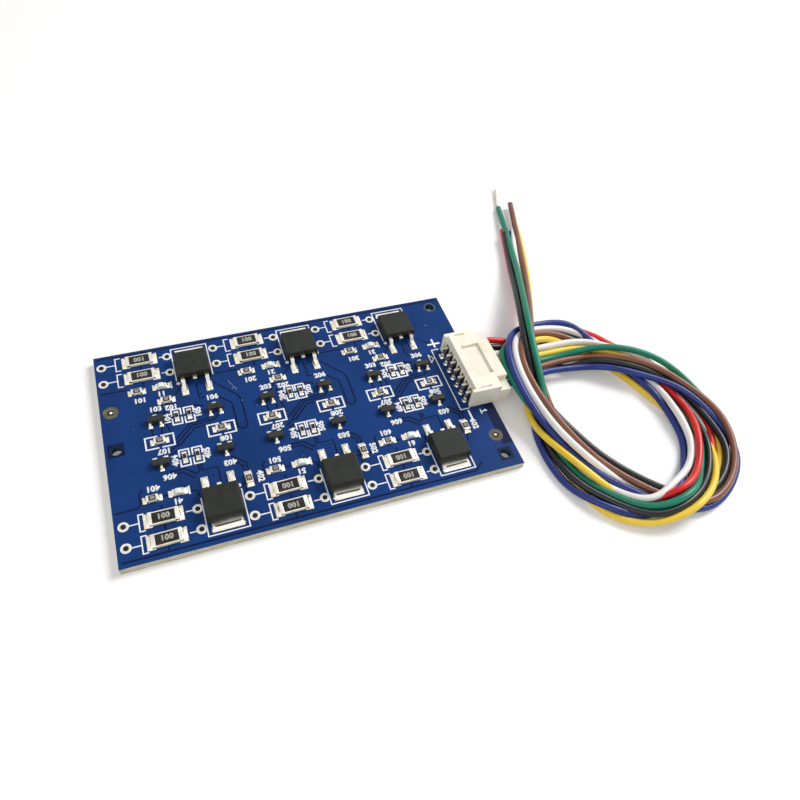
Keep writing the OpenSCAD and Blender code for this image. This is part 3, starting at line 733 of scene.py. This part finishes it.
def legs_pattern():
    outline = [(0.5, 0.5), (0.9, 0.5), (0.9, 0), (1.35, 0), (1.35, 0.14), (1.04, 0.14),
               (1.04, 0.64), (0.5, 0.64)]
    shape = bmesh.new()
    extrude(shape, outline, 0.42, 0)
    for x in (-0.95, 0.95):
        extrude(shape, outline, 0.42, x, -1)
    bmesh.ops.recalc_face_normals(shape, faces=shape.faces)
    bmesh.ops.bevel(shape, geom=list(shape.edges), offset=0.03 * MM, segments=1, affect="EDGES")
    return made(shape, "legs", outward=False)


def solder_lump(name, wide, long, high):
    """A low lump of set solder, round at its ends."""
    shape = bmesh.new()
    bmesh.ops.create_uvsphere(shape, u_segments=16, v_segments=8, radius=1.0)
    for v in shape.verts:
        x, y, z = v.co
        square = math.hypot(x, y) / max(abs(x), abs(y), 1e-6)
        fat = 1 + 0.55 * (square - 1)
        v.co = Vector((x * fat * wide / 2, y * fat * long / 2, max(z, 0) * high)) * MM
    return made(shape, name, outward=False, smooth=True)


def turned_places(places, offsets):
    """The places of details that stand off their parts and turn with them."""
    found = []
    for x, y, turn in places:
        s = 1 if turn == 0 else -1
        found += [(x + s * dx, y + s * dy, turn) for dx, dy in offsets]
    return on_pads(found)


packages = [(x, y, 0 if side > 0 else 180) for x, y, side in DRIVERS + REFERENCES]
package_nodes = six("driver_transistor") + six("voltage_reference")
package = pattern("package", ((2.9, 1.35, 0.92), (0, 0, 0.56), 0.09, 0.07))
set_parts("package_bodies", package, moulded, "moulded_black", packages, PACKAGES, package_nodes)
set_parts("package_legs", legs_pattern(), tinned, "tinned_leads", packages, PACKAGES)
feet = turned_places(packages, ((0, 1.22), (-0.95, -1.22), (0.95, -1.22)))
foot_lump = solder_lump("foot_lump", 0.72, 0.72, 0.2)
set_parts("package_solder", foot_lump, solder, "solder", feet, FEET)

# %% [markdown]
# ## Rounded copies of the big solids
# The shunt transistors, the header and the plug already have their true shape as solids.
# Only their edges are too sharp. A copy of a solid, with its loose triangles merged and its
# flat faces made whole, can take a small bevel, and it then stands for the solid.

# %% Soften copies
FLAT = math.radians(1)
SHARP = math.radians(35)
NARROW = 4e-8  # square metres; only the rounded edges have faces as small as this


def soften(name, nodes, width, material, slot, segments=2):
    """One piece that stands for several solids of the frame, with its edges bevelled."""
    shape = bmesh.new()
    for node in nodes:
        shape.from_mesh(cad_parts[node].data)
    bmesh.ops.remove_doubles(shape, verts=shape.verts, dist=1e-7)
    bmesh.ops.dissolve_limit(shape, angle_limit=FLAT, verts=shape.verts, edges=shape.edges)
    piece = show(made(shape, name, outward=False))
    bevel = piece.modifiers.new("edges", "BEVEL")
    bevel.width = width * MM
    bevel.segments = segments
    bevel.limit_method = "ANGLE"
    bevel.angle_limit = SHARP
    keep_plain(piece)
    for face in piece.data.polygons:
        face.use_smooth = face.area < NARROW
    print(name, "from", len(nodes), "solids,", len(piece.data.polygons), "faces")
    dress(piece, material, slot, *nodes)


big_black = finish("moulded_big", (0.012, 0.013, 0.010), (0.020, 0.022, 0.017), 2.2, (0.45, 0.60),
                   (0.16, 0.5), gloss=0.22)
bright = finish("bright_tin", (0.86, 0.82, 0.72), (0.93, 0.90, 0.82), 3.0, (0.26, 0.34),
                (0.50, 0.02), metal=1.0)
# A dark brown finish used as painted shade along the front edge of the front tabs
tab_edge_shade = finish("painted_tab_edge_shade", (0.035, 0.021, 0.009), (0.085, 0.052, 0.022), 0.6, (0.4, 0.6))
soften("transistor_bodies", six("mosfet_body"), 0.14, big_black, "moulded_black")
soften("transistor_metal", six("mosfet_frame"), 0.05, bright, "tinned_leads", 1)

# %% Solder round the shunt transistors
mosfets = [(x, y, 0) for x, y in MOSFETS_UP] + [(x, y, 180) for x, y in MOSFETS_DOWN]
lead_feet = turned_places(mosfets, ((-2.28, -5.1), (2.28, -5.1)))
lead_lump = solder_lump("lead_lump", 1.15, 2.3, 0.3)
set_parts("lead_solder", lead_lump, solder, "solder", lead_feet, LEADS)
# The tab's slope is drawn along +X, so it is turned to the back or to the front
TAB_END = 4.04
upper = on_pads([(x, y, 90) for x, y in MOSFETS_UP])
lower = on_pads([(x, y, -90) for x, y in MOSFETS_DOWN])
for name, ends, reach in (("upper", upper, 1.2), ("lower", lower, 0.6)):
    tab_slope = fillet_pattern("tab_slope_" + name, TAB_END, reach, 5.15, 0.45, ends=(1,))
    set_parts("tab_solder_" + name, tab_slope, bright, "solder", ends, TABS)
# Painted shade: a thin dark strip along the front edge of each tab that faces the front
tab_shade_strip = pattern("tab_seam", ((0.32, 4.4, 0.03), (3.9, 0, 0.508), 0.01, 0))
set_parts("tab_seams", tab_shade_strip, tab_edge_shade, "solder", lower, TABS)

# %% [markdown]
# ## Lamps
# A surface-mount lamp is a white slip with tinned ends, a clear lens moulded over its
# middle and a green mark that shows its negative end. The lens is milky, so light goes into
# it a little way; that is transmission with a rough surface.

# %% Lamps
def lens_pattern(long, wide, high, low):
    """A block whose top is a smooth crown."""
    steps = 12
    shape = bmesh.new()
    grid = []
    for i in range(steps + 1):
        u = -1 + 2 * i / steps
        row = []
        for j in range(steps + 1):
            v = -1 + 2 * j / steps
            rise = math.sqrt(max(0, 1 - abs(u) ** 3)) * math.sqrt(max(0, 1 - abs(v) ** 8))
            row.append(shape.verts.new(Vector((u * long / 2, v * wide / 2, low + high * rise)) * MM))
        grid.append(row)
    for a, b in zip(grid, grid[1:]):
        stitch(shape, a, b)
    bmesh.ops.holes_fill(shape, edges=[e for e in shape.edges if e.is_boundary])
    for face in shape.faces:
        face.smooth = len(face.verts) == 4
    return made(shape, "lens")


resin = finish("led_resin", (0.90, 0.92, 0.84), (0.95, 0.96, 0.92), 0.7, (0.16, 0.30),
               (0.3, 0.1), gloss=0.8)
settle(shader_of(resin), Transmission_Weight=0.12)
green_mark = finish("green_mark", (0.10, 0.62, 0.28), (0.22, 0.80, 0.42), 0.5, (0.4, 0.5))
lamp_places = [(x, y, 0) for x, y in LEDS]
SLIP = 0.28
slip = pattern("lamp_slip", ((1.96, 1.2, SLIP), (0, 0, SLIP / 2), 0.03, 0))
lens = lens_pattern(1.3, 1.15, 0.5, SLIP)
ends = pattern("lamp_ends", *[((0.34, 1.24, 0.31), (s * 0.83, 0, 0.155), 0.04, 0) for s in (-1, 1)])
mark = pattern("lamp_mark", ((0.10, 0.9, 0.03), (0.62, 0, 0.315), 0.01, 0),
               ((0.2, 0.3, 0.03), (0.5, 0, 0.3), 0.01, 0))
slope = fillet_pattern("lamp_slope", 1.0, 0.6, 1.2, 0.25)
set_parts("lamp_slips", slip, ceramic, "ceramic_chip", lamp_places, LAMPS, six("led"))
set_parts("lamp_lenses", lens, resin, "led_resin", lamp_places, LAMPS)
set_parts("lamp_ends", ends, tinned, "tinned_leads", lamp_places, LAMPS)
set_parts("lamp_marks", mark, green_mark, "led_resin", lamp_places, LAMPS)
set_parts("lamp_fillets", slope, solder, "solder", on_pads(lamp_places), LAMPS)

# %% [markdown]
# ## Header, plug and pins
# Both housings are unfilled nylon, ivory in colour and slightly waxy: light goes a little
# way in, which a small amount of subsurface scattering gives. Behind the header each pin
# stands in a cone of solder on its pad. The first pad is square.

# %% Housings
def nylon(name, first, second):
    material = finish(name, first, second, 3.0, (0.36, 0.48), (0.35, 0.12), gloss=0.35)
    settle(shader_of(material), Subsurface_Weight=0.25, Subsurface_Scale=0.5,
           Subsurface_Radius=(0.0010, 0.0008, 0.0005))
    return material


header_nylon = nylon("header_nylon", (0.86, 0.81, 0.67), (0.92, 0.88, 0.76))
plug_nylon = nylon("plug_nylon", (0.82, 0.76, 0.62), (0.88, 0.83, 0.70))
soften("header", ["header_shell"], 0.12, header_nylon, "header_nylon")
soften("plug", ["plug_housing"], 0.12, plug_nylon, "plug_nylon")
soften("pins", ["header_pins"], 0.06, tinned, "tinned_brass")
repaint("crimp_contacts", tinned)

# %% Shade between the ribs
# Painted shade: the back of the header is open between its thin ribs, so a thin dark plate stands
# against it at each pin
HEADER_BACK = 68.87
PIN_X = 67.9
PIN_YS = [28.9 - 2 * k for k in range(7)]
BASE = BOARD[2]
# A near-black finish used only as painted shade: in the header, the cable holes and the plated holes
painted_shade = finish("painted_hollow_shade", (0.010, 0.009, 0.011), (0.020, 0.018, 0.018), 0.8, (0.5, 0.7),
               gloss=0.2)
opening = pattern("opening", ((0.04, 1.5, 2.6), (0, 0, 1.5), 0.005, 0))
opening_shade_plates = [(HEADER_BACK, y, 0, BASE) for y in PIN_YS]
set_parts("header_openings", opening, painted_shade, "header_nylon", opening_shade_plates)

# %% Solder cones at the pins
def turned(name, profile, sides=28):
    """Turn a profile of (radius, height) millimetres round the upright axis."""
    shape = bmesh.new()
    rings = [[shape.verts.new(Vector((radius * x, radius * y, height)) * MM)
              for x, y in compass(sides)] for radius, height in profile]
    for a, b in zip(rings, rings[1:]):
        stitch(shape, a, b, closed=True)
    for face in shape.faces:
        face.smooth = True
    shape.faces.new(rings[0])
    shape.faces.new(rings[-1])
    return made(shape, name)


cone = turned("cone", [(0.64, 0), (0.64, 0.04), (0.56, 0.12), (0.47, 0.28), (0.40, 0.5),
                       (0.35, 0.75), (0.32, 0.9)])
set_parts("pin_cones", cone, solder, "solder", [(PIN_X, y, 0, BASE) for y in PIN_YS], CONES)
first_pad = pattern("first_pad", ((1.35, 1.35, 0.07), (0, 0, 0.035), 0.02, 0))
set_parts("first_pad", first_pad, solder, "solder", [(PIN_X, PIN_YS[0], 0, BASE)])

# %% [markdown]
# ## Printed numbers
# Each part has a number beside it, printed in the same ink as the lines. They are plain
# running numbers: the cell, then the part. Text objects give good figures, and once they
# are meshes they can be moved to their places and joined. The marks on the resistors
# themselves are the same for all, pale on the black glass.

# %% Print numbers
def figures(name, entries, thickness, material, slot):
    """Flat figures as one mesh: entries are (text, x, y, turn, height, level)."""
    shape = bmesh.new()
    for text, x, y, turn, high, level in entries:
        data = bpy.data.curves.new("figure", "FONT")
        data.body = text
        data.size = high * 1.42 * MM
        data.offset = 0.075 * high * MM
        data.resolution_u = 2
        data.align_x = "CENTER"
        data.align_y = "CENTER"
        letter = show(bpy.data.objects.new("figure", data))
        view = bpy.context.evaluated_depsgraph_get()
        mesh = bpy.data.meshes.new_from_object(letter.evaluated_get(view))
        turning = Matrix.Rotation(math.radians(turn), 4, "Z")
        mesh.transform(Matrix.Translation(spot(x, y, level)) @ turning)
        shape.from_mesh(mesh)
        bpy.data.objects.remove(letter)
        bpy.data.meshes.remove(mesh)
    bmesh.ops.remove_doubles(shape, verts=shape.verts, dist=1e-7)
    flat = list(shape.faces)
    bmesh.ops.recalc_face_normals(shape, faces=flat)
    for face in flat:
        if face.normal.z < 0:
            face.normal_flip()
    raised = bmesh.ops.extrude_face_region(shape, geom=flat)
    tops = [v for v in raised["geom"] if isinstance(v, bmesh.types.BMVert)]
    bmesh.ops.translate(shape, verts=tops, vec=(0, 0, thickness * MM))
    piece = dress(show(made(shape, name)), material, slot)
    print(name, len(entries), "numbers,", len(piece.data.polygons), "faces")


LEVEL = BASE + 0.002
FIGURE_HEIGHT = 1.1
SUNK = 0.005
# Last figure, the parts that carry it, and where it stands from them: x, y and turn
UPPER_ROWS = [
    (1, LED_RESISTORS[:3], 0.3, -1.95, 180), (2, GATE_FLAT, 0.6, -1.7, 180),
    (3, DRIVERS[:3], 0.35, 2.8, 0), (4, DIVIDER_A[:3], -1.65, -0.1, 90),
    (5, DIVIDER_B[:3], 1.65, 0.1, 90), (6, REFERENCES[:3], -0.1, 2.9, 0),
    (7, SENSE[::2], 0.45, -2.25, 180), (8, SENSE[1::2], 0.45, -2.25, 180),
]
LOWER_ROWS = [
    (1, LED_RESISTORS[3:], 0.3, 2.15, 180), (2, GATE_UPRIGHT, 2.0, 0.1, -90),
    (3, DRIVERS[3:], 0.2, -2.9, 180), (4, DIVIDER_A[3:], -1.7, -0.2, 90),
    (5, DIVIDER_B[3:], 1.65, 0, 90), (6, REFERENCES[3:], 1.0, -2.9, 180),
]
numbers = []
for first_cell, rows in ((1, UPPER_ROWS), (4, LOWER_ROWS)):
    for last, parts, dx, dy, turn in rows:
        for cell, part in enumerate(parts, first_cell):
            text = str(100 * cell + last)
            numbers.append((text, part[0] + dx, part[1] + dy, turn, FIGURE_HEIGHT, LEVEL))
for cell, (x, y) in enumerate(LEDS, 1):
    shift = 0.2 if cell < 4 else 0.3
    numbers.append((str(10 * cell + 1), x - shift, y - 1.6, 180, FIGURE_HEIGHT, LEVEL))
figures("printed_numbers", numbers, 0.02, ink, "legend_ink")

turned_round = [POWER_UP[0]] + POWER_DOWN[2:]
power_top, flat_top = (TOP + CHIP_SIZES[kind][2] - SUNK for kind in ("power", "flat"))
marks = [("100", x, y, 180 if (x, y) in turned_round else 0, 1.0, power_top)
         for x, y in POWER_UP + POWER_DOWN]
marks += [("20", x, y, turn, 0.55, flat_top) for x, y, turn in CHIP_PLACES["flat"]]
pale_mark = finish("pale_mark", (0.34, 0.32, 0.27), (0.46, 0.44, 0.38), 0.6, (0.5, 0.7))
figures("resistor_marks", marks, 0.006, pale_mark, "ceramic_chip")

# %% [markdown]
# ## Lines under the lacquer
# Under the lacquer lies copper, parted by narrow gaps. Where there is a gap the lacquer
# looks nearly black, so the gaps read as thin dark lines. They follow paths, so a second
# tree sweeps a flat strip along each of them. The same tree, with a round section, sweeps
# the strands of wire further down.

# %% A tree that sweeps lines
def sweeping_tree():
    tree, start, end = new_tree("sweep_lines", Lines="Geometry", Width="Float", Height="Float",
                                Sides="Int", Finish="Material")
    section = tree.nodes.new("GeometryNodeCurvePrimitiveCircle")
    settle(section, Radius=1.0)
    size = tree.nodes.new("ShaderNodeCombineXYZ")
    scale = tree.nodes.new("GeometryNodeTransform")
    curves = tree.nodes.new("GeometryNodeMeshToCurve")
    swept = tree.nodes.new("GeometryNodeCurveToMesh")
    settle(swept, Fill_Caps=True)
    link(tree, start, "Sides", section, "Resolution")
    link(tree, start, "Width", size, "X")
    link(tree, start, "Height", size, "Y")
    link(tree, section, "Curve", scale, "Geometry")
    link(tree, size, 0, scale, "Scale")
    link(tree, start, "Lines", curves, "Mesh")
    link(tree, curves, 0, swept, "Curve")
    link(tree, scale, 0, swept, "Profile Curve")
    end_tree(tree, start, swept, end)
    return tree


SWEEPING = sweeping_tree()


def sweep(name, paths, section, material, slot, *nodes):
    """A section (width, height, sides) swept along paths in metres, as one dressed piece."""
    points, edges = [], []
    for path in paths:
        first = len(points)
        points += path
        edges += [(first + k, first + k + 1) for k in range(len(path) - 1)]
    mesh = bpy.data.meshes.new(name)
    mesh.from_pydata(points, edges, [])
    piece = show(bpy.data.objects.new(name, mesh))
    width, height, sides = section
    run_tree(piece, SWEEPING, Width=width * MM, Height=height * MM, Sides=sides, Finish=material)
    print(name, len(paths), "paths,", len(piece.data.polygons), "faces")
    dress(piece, material, slot, *nodes)


# %% Draw the gaps in the copper
GAP_LEVEL = BASE + 0.001
CELL_SHIFTS = (0, 21.35, 42.65)
CELLS_END = 66.5
bare_mask = finish("bare_mask", MASK_BARE, (0.007, 0.015, 0.062), 1.5, (0.34, 0.42), (0.3, 0.05),
                   gloss=0.07)


def arc(x, y, radius, first, last, steps=8):
    """Points on part of a circle, in millimetres; the angles are degrees."""
    turns = [math.radians(first + (last - first) * k / steps) for k in range(steps + 1)]
    return [(x + radius * math.cos(a), y + radius * math.sin(a)) for a in turns]


UPPER_GAPS = [
    [(20.6, 34.9), (21.2, 34.2), (24.9, 30.1), (25.4, 28.9)] + arc(24.5, 22.8, 0.9, 0, -180)
    + [(23.6, 28.4), (21.2, 30.6)],
    [(17.9, 34.7), (17.9, 31), (19.0, 31)],
    [(12.3, 21.6), (15.6, 25.0), (19.6, 25.3), (20.8, 26.3)],
    [(12.9, 21.2), (15.9, 24.3), (19.2, 24.5)],
    [(11.3, 22.3), (12.0, 22.3), (15.2, 25.5), (18.8, 25.9)],
    [(8.5, 26.2), (8.5, 24.3)],
    [(10.2, 26.2), (10.2, 24.3)],
    [(11.7, 24.4), (11.2, 26.3), (11.2, 29.6)],
    [(9.8, 29.3), (10.4, 30.2), (11.0, 31.1)],
    [(13.4, 32.6), (14.7, 34.1)],
    [(14.2, 29.6), (16.7, 29.6), (18.4, 29.0)],
    [(17.2, 26.3), (17.2, 28.6)],
    [(8.4, 41.6), (8.4, 40.3)],
    [(8.4, 37.5), (8.4, 36.4)],
]
LOWER_GAPS = [
    [(0.4, 10.2), (4.2, 10.3), (4.7, 11), (4.7, 13), (5.3, 13.7)],
    [(10.2, 16.0), (12.9, 16.0), (14.6, 14.4)],
    [(10.2, 15.3), (12.5, 15.3), (14.3, 13.6)],
    [(15.2, 16.4), (15.2, 14.9), (14.6, 14.3)],
    [(15.7, 16.4), (15.7, 14.9), (18.4, 14.9), (18.4, 11.4)],
    [(21.2, 16.4), (23.4, 14.3), (23.4, 12.9)],
    [(21.0, 15.6), (22.7, 13.9), (22.7, 12.9)],
    [(8.5, 11.5), (9.4, 11.5)],
    [(12.8, 11.4), (14.2, 11.0), (14.2, 9.9)],
    [(8.0, 9.9), (8.0, 8.8)],
    [(8.0, 6.0), (8.0, 4.7)],
    [(8.0, 1.9), (8.0, 1.1)],
    [(11.0, 20.3), (12.2, 21.3), (13.1, 21.3)],
    [(10.9, 19.5), (12.4, 20.3)],
    [(22.3, 9.3), (22.3, 8.2), (21.9, 7.6)],
]
LONG_GAPS = [
    [(0.4, 36.4), (5.2, 36.4)],
    [(21.9, 36.3), (26.2, 36.3)],
    [(43.3, 36.3), (47.6, 36.3)],
    [(0.6, 1.0), (63.6, 1.0), (65.2, 2.4)],
    [(64.6, 34.8), (67.2, 32.4)],
    [(0.5, 45.2), (72.6, 45.2)],
]
paths = list(LONG_GAPS)
for shift in CELL_SHIFTS:
    for path in UPPER_GAPS + LOWER_GAPS:
        if shift + max(x for x, y in path) < CELLS_END:
            paths.append([(x + shift, y) for x, y in path])
paths = [[spot(x, y, GAP_LEVEL) for x, y in path] for path in paths]
sweep("copper_gaps", paths, (0.17, 0.006, 4), bare_mask, "solder_mask")

# %% [markdown]
# ## Small marks on the board
# Two of the bare holes stand in a dark square without copper, and the third in a dark ring.
# The two larger plated holes are dull, their copper fluxed long ago; in each, a dark dish is
# painted shade and a small bright dot of solder is a painted highlight. There are rows of tiny
# plated holes beside the transistors, and a few pale scratches on the lacquer.

# %% Patches, dull rings, tiny holes and scratches
def patch(name, x, y, inner, outer, square, level, thickness, material, slot):
    """A flat plate round a hole, square or round outside."""
    shape = bmesh.new()
    loops = []
    for z in (level, level + thickness):
        rim, hole = [], []
        for cx, cy in compass(40):
            far = outer / max(abs(cx), abs(cy)) if square else outer
            rim.append(shape.verts.new(spot(x + far * cx, y + far * cy, z)))
            hole.append(shape.verts.new(spot(x + inner * cx, y + inner * cy, z)))
        loops.append((rim, hole))
    (low_rim, low_hole), (rim, hole) = loops
    for pair in ((rim, hole), (low_rim, low_hole), (low_rim, rim), (low_hole, hole)):
        stitch(shape, *pair, closed=True)
    dress(show(made(shape, name)), material, slot)


LEFT_CABLE = (1.9, 31.6)
RIGHT_CABLE = (70.5, 7.4)
FILM = (GAP_LEVEL, 0.006)
RING = (BASE + 0.045, 0.012)
fluxed = finish("fluxed_copper", (0.080, 0.074, 0.045), (0.170, 0.150, 0.092), 0.8, (0.35, 0.55),
                (0.2, 0.3), metal=0.5)
burnt = finish("burnt_flux", (0.030, 0.024, 0.014), (0.065, 0.052, 0.032), 0.8, (0.35, 0.55),
               (0.2, 0.3), metal=0.2)
hole_rim = finish("hole_rim", (0.045, 0.075, 0.110), (0.080, 0.120, 0.160), 0.8, (0.3, 0.5),
                  gloss=0.3)
patch("hole_square_left", 1.95, 23, 1.02, 1.45, True, *FILM, bare_mask, "solder_mask")
patch("hole_square_right", 70.6, 3, 1.02, 1.4, True, *FILM, bare_mask, "solder_mask")
patch("hole_ring_back", 70.5, 43.25, 1.02, 1.32, False, *FILM, hole_rim, "solder_mask")
patch("cable_ring_left", *LEFT_CABLE, 0.55, 1.41, False, *RING, fluxed, "solder")
patch("cable_ring_right", *RIGHT_CABLE, 0.5, 1.41, False, *RING, burnt, "solder")
# Painted shade: a dark dish in each cable hole
well = turned("well", [(0.60, 0.02), (0.57, 0.03), (0.40, -0.03), (0.02, -0.05)], 28)
hole_shade_dishes = [(*LEFT_CABLE, 0, BASE + 0.05), (*RIGHT_CABLE, 0, BASE + 0.05)]
set_parts("cable_wells", well, painted_shade, "solder", hole_shade_dishes)
# Painted highlight: a small bright dot of solder in each cable hole stands for the bright spot seen in
# it
bead = turned("bead", [(0.29, -0.06), (0.27, 0.03), (0.17, 0.07), (0.02, 0.09)], 24)
hole_glint_beads = [(1.93, 31.62, 0, BASE + 0.06), (70.42, 7.5, 0, BASE + 0.03)]
set_parts("cable_beads", bead, solder, "solder", hole_glint_beads)

# %% Line the plated holes with painted shade and set the tiny ones
# Painted shade: a dark sleeve, flush with the top, sinks into each plated hole
lining = turned("lining", [(0.45, 0), (0.45, 0.012), (0.35, 0.012), (0.35, -0.5), (0.02, -0.5)], 24)
shade_linings = [(x, y, 0, TOP) for x in (1.3, 13.6, 22.6, 35, 44.05, 56.2) for y in (42.9, 38.75)]
shade_linings += [(x, y, 0, TOP) for x in (1.5, 13.6, 22.55, 34.95, 43.8, 56) for y in (7.45, 3.45)]
set_parts("hole_linings", lining, painted_shade, "solder", shade_linings)
TINY_HOLES = [
    (24.2, 23.2), (24.9, 23.2), (24.2, 22.5), (24.9, 22.5), (18.4, 34), (18.4, 33), (18.4, 32),
    (19.3, 33.4), (16.6, 14.2), (16.6, 13.4), (17.4, 14.2), (17.4, 13.4),
]
tiny = [(x + shift, y, 0, GAP_LEVEL - 0.002) for shift in CELL_SHIFTS for x, y in TINY_HOLES
        if x + shift < CELLS_END]
dot = turned("dot", [(0.16, 0), (0.16, 0.006), (0.12, 0.010)], 12)
set_parts("tiny_holes", dot, bare_mask, "solder_mask", tiny)

# %% Scratch the lacquer
SCRATCHES = [
    [(23.9, 33.9), (24.1, 33.2), (24.6, 32.5)], [(24.4, 32.3), (24.9, 31.9), (25.1, 31.2)],
    [(24.2, 31.6), (24.7, 32.0)], [(25.6, 33.3), (25.7, 33.2)], [(25.5, 28.6), (25.6, 28.2)],
    [(27.9, 26.4), (28.1, 26.5)], [(5.3, 26.8), (5.5, 26.7)], [(33.5, 12.9), (33.7, 13.0)],
    [(62.0, 41.9), (62.5, 42.2)], [(67.4, 38.4), (67.9, 38.1)],
]
scuff = finish("scuff", (0.16, 0.24, 0.42), (0.34, 0.42, 0.58), 0.4, (0.5, 0.7))
scratch_paths = [[spot(x, y, GAP_LEVEL + 0.006) for x, y in path] for path in SCRATCHES]
sweep("scratches", scratch_paths, (0.05, 0.004, 4), scuff, "solder_mask")

# %% [markdown]
# ## Cut ends
# Each wire is stranded copper, tinned. At a clean cut the strands show as a small bright
# disc inside the insulation. The green wire alone was stripped: its strands stick out,
# loosely twisted, and spread a little towards the tip.

# %% Strands
strand_metal = finish("tinned_copper", (0.50, 0.43, 0.34), (0.74, 0.70, 0.64), 0.5, (0.25, 0.45),
                      (0.1, 0.3), metal=1.0)
STRANDS = 7


def frame_of(line, k):
    """The direction of a line at a point, and two more square to it."""
    along = (line[min(k + 1, len(line) - 1)] - line[max(k - 1, 0)]).normalized()
    side = along.cross(Vector((0, 0, 1))).normalized()
    return along, side, side.cross(along)


def beside(point, side, rise, angle, distance):
    """A point at a distance from another, in millimetres, square to the line."""
    return point + (side * math.cos(angle) + rise * math.sin(angle)) * distance * MM


cut_strands = []
for name in PLACES:
    if name == "green":
        continue
    line = smooth(route(name))
    along, side, rise = frame_of(line, len(line) - 1)
    for n in range(STRANDS):
        out = 0 if n == STRANDS - 1 else 0.24
        foot = beside(line[-1], side, rise, math.pi * n / 3, out)
        cut_strands.append([foot - along * 0.4 * MM, foot + along * 0.14 * MM])
sweep("cut_strands", cut_strands, (0.12, 0.12, 8), strand_metal, "tinned_copper")

# %% The stripped end
BARE = [(65.4, 50.2, 0.8), (65.7, 51.1, 0.8), (66, 52.5, 0.6), (66.6, 54.5, 0.5), (67.6, 56.7, 0.5),
        (68.3, 58.7, 0.45), (68.8, 60.5, 0.45)]
SHORTER_BY = (0, 5, 2, 9, 4, 12, 7)
TWIST = 5.0 * math.pi
spine = []
for a, b in zip(BARE, BARE[1:]):
    spine += [(Vector(a) + (Vector(b) - Vector(a)) * k / 6) * MM for k in range(6)]
spine.append(Vector(BARE[-1]) * MM)
bare_strands = []
for n, shorter in enumerate(SHORTER_BY):
    path = []
    for k in range(len(spine) - shorter):
        along, side, rise = frame_of(spine, k)
        t = k / len(spine)
        loose = 0.26 + 0.10 * math.sin(7 * t + n) if n < STRANDS - 1 else 0.0
        p = beside(spine[k], side, rise, math.pi * n / 3 + TWIST * t, loose)
        p.z = max(p.z, 0.1 * MM)
        path.append(p)
    bare_strands.append(path)
sweep("bare_strands", bare_strands, (0.09, 0.09, 8), strand_metal, "tinned_copper", "bare_end")

# %% [markdown]
# ## Floor, backdrop and lamps
# The object lies on a plain pale sweep. A lit floor alone would come out a little grey, so
# a touch of light is added to it for the camera and for reflections only, and the shadow of
# the loop stays. The lamps are broad and soft, and as strong as a colour needs to render
# about as it is written.

# %% Set the stage
def seen_by(tree, *rays):
    """1 for these kinds of ray, 0 for all others."""
    path = tree.nodes.new("ShaderNodeLightPath")
    seen = path.outputs[rays[0]]
    for ray in rays[1:]:
        seen = sums(tree, "MAXIMUM", seen, path.outputs[ray])
    return seen


def pale(name, colour, lift):
    """A matt pale surface that the camera and the reflections see a little brighter."""
    material, tree, shader = new_material(name)
    settle(shader, Base_Color=(*colour, 1), Roughness=0.9, Specular_IOR_Level=0.1,
           Emission_Color=(1, 0.99, 0.98, 1))
    strength = sums(tree, "MULTIPLY", seen_by(tree, "Is Camera Ray", "Is Glossy Ray"), lift)
    tree.links.new(strength, shader.inputs["Emission Strength"])
    return material


FLOOR = 3.0
CLEARANCE = 0.00002
corners = [(-FLOOR, -FLOOR, 0), (FLOOR, -FLOOR, 0), (FLOOR, FLOOR, 0), (-FLOOR, FLOOR, 0)]
floor_mesh = bpy.data.meshes.new("floor")
floor_mesh.from_pydata(corners, [], [(0, 1, 2, 3)])
floor_mesh.materials.append(pale("pale_floor", (0.90, 0.885, 0.875), 0.13))
floor = show(bpy.data.objects.new("floor", floor_mesh))
floor.location.z = -CLEARANCE

world = bpy.data.worlds.new("studio")
bpy.context.scene.world = world
world.use_nodes = True
tree = world.node_tree
sky = tree.nodes["Background"]
settle(sky, Color=(0.98, 0.99, 1.0, 1))
seen = seen_by(tree, "Is Camera Ray", "Is Glossy Ray", "Is Transmission Ray")
tree.links.new(between(tree, seen, 0.42, 1.0, 0, 1), sky.inputs["Strength"])

MIDDLE = Vector((0.02, 0, 0))


def lamp(name, place, size, power):
    """A square lamp aimed at the middle of the object."""
    data = bpy.data.lights.new(name, "AREA")
    data.size = size
    data.energy = power
    light = show(bpy.data.objects.new(name, data))
    light.location = place
    light.rotation_euler = (Vector(place) - MIDDLE).to_track_quat("Z", "Y").to_euler()


lamp("key", (0.50, 0.16, 0.46), 0.30, 4.0)
lamp("fill", (-0.34, -0.40, 0.36), 0.45, 1.1)
print("stage set")

# %% [markdown]
# ## The wires as cords
# Each wire is a curve of its real thickness, and nothing is on its far end: it is cut off.

print("cords declared:", len(wires))

# %% Finish
bpy.context.scene.view_settings.view_transform = "Standard"
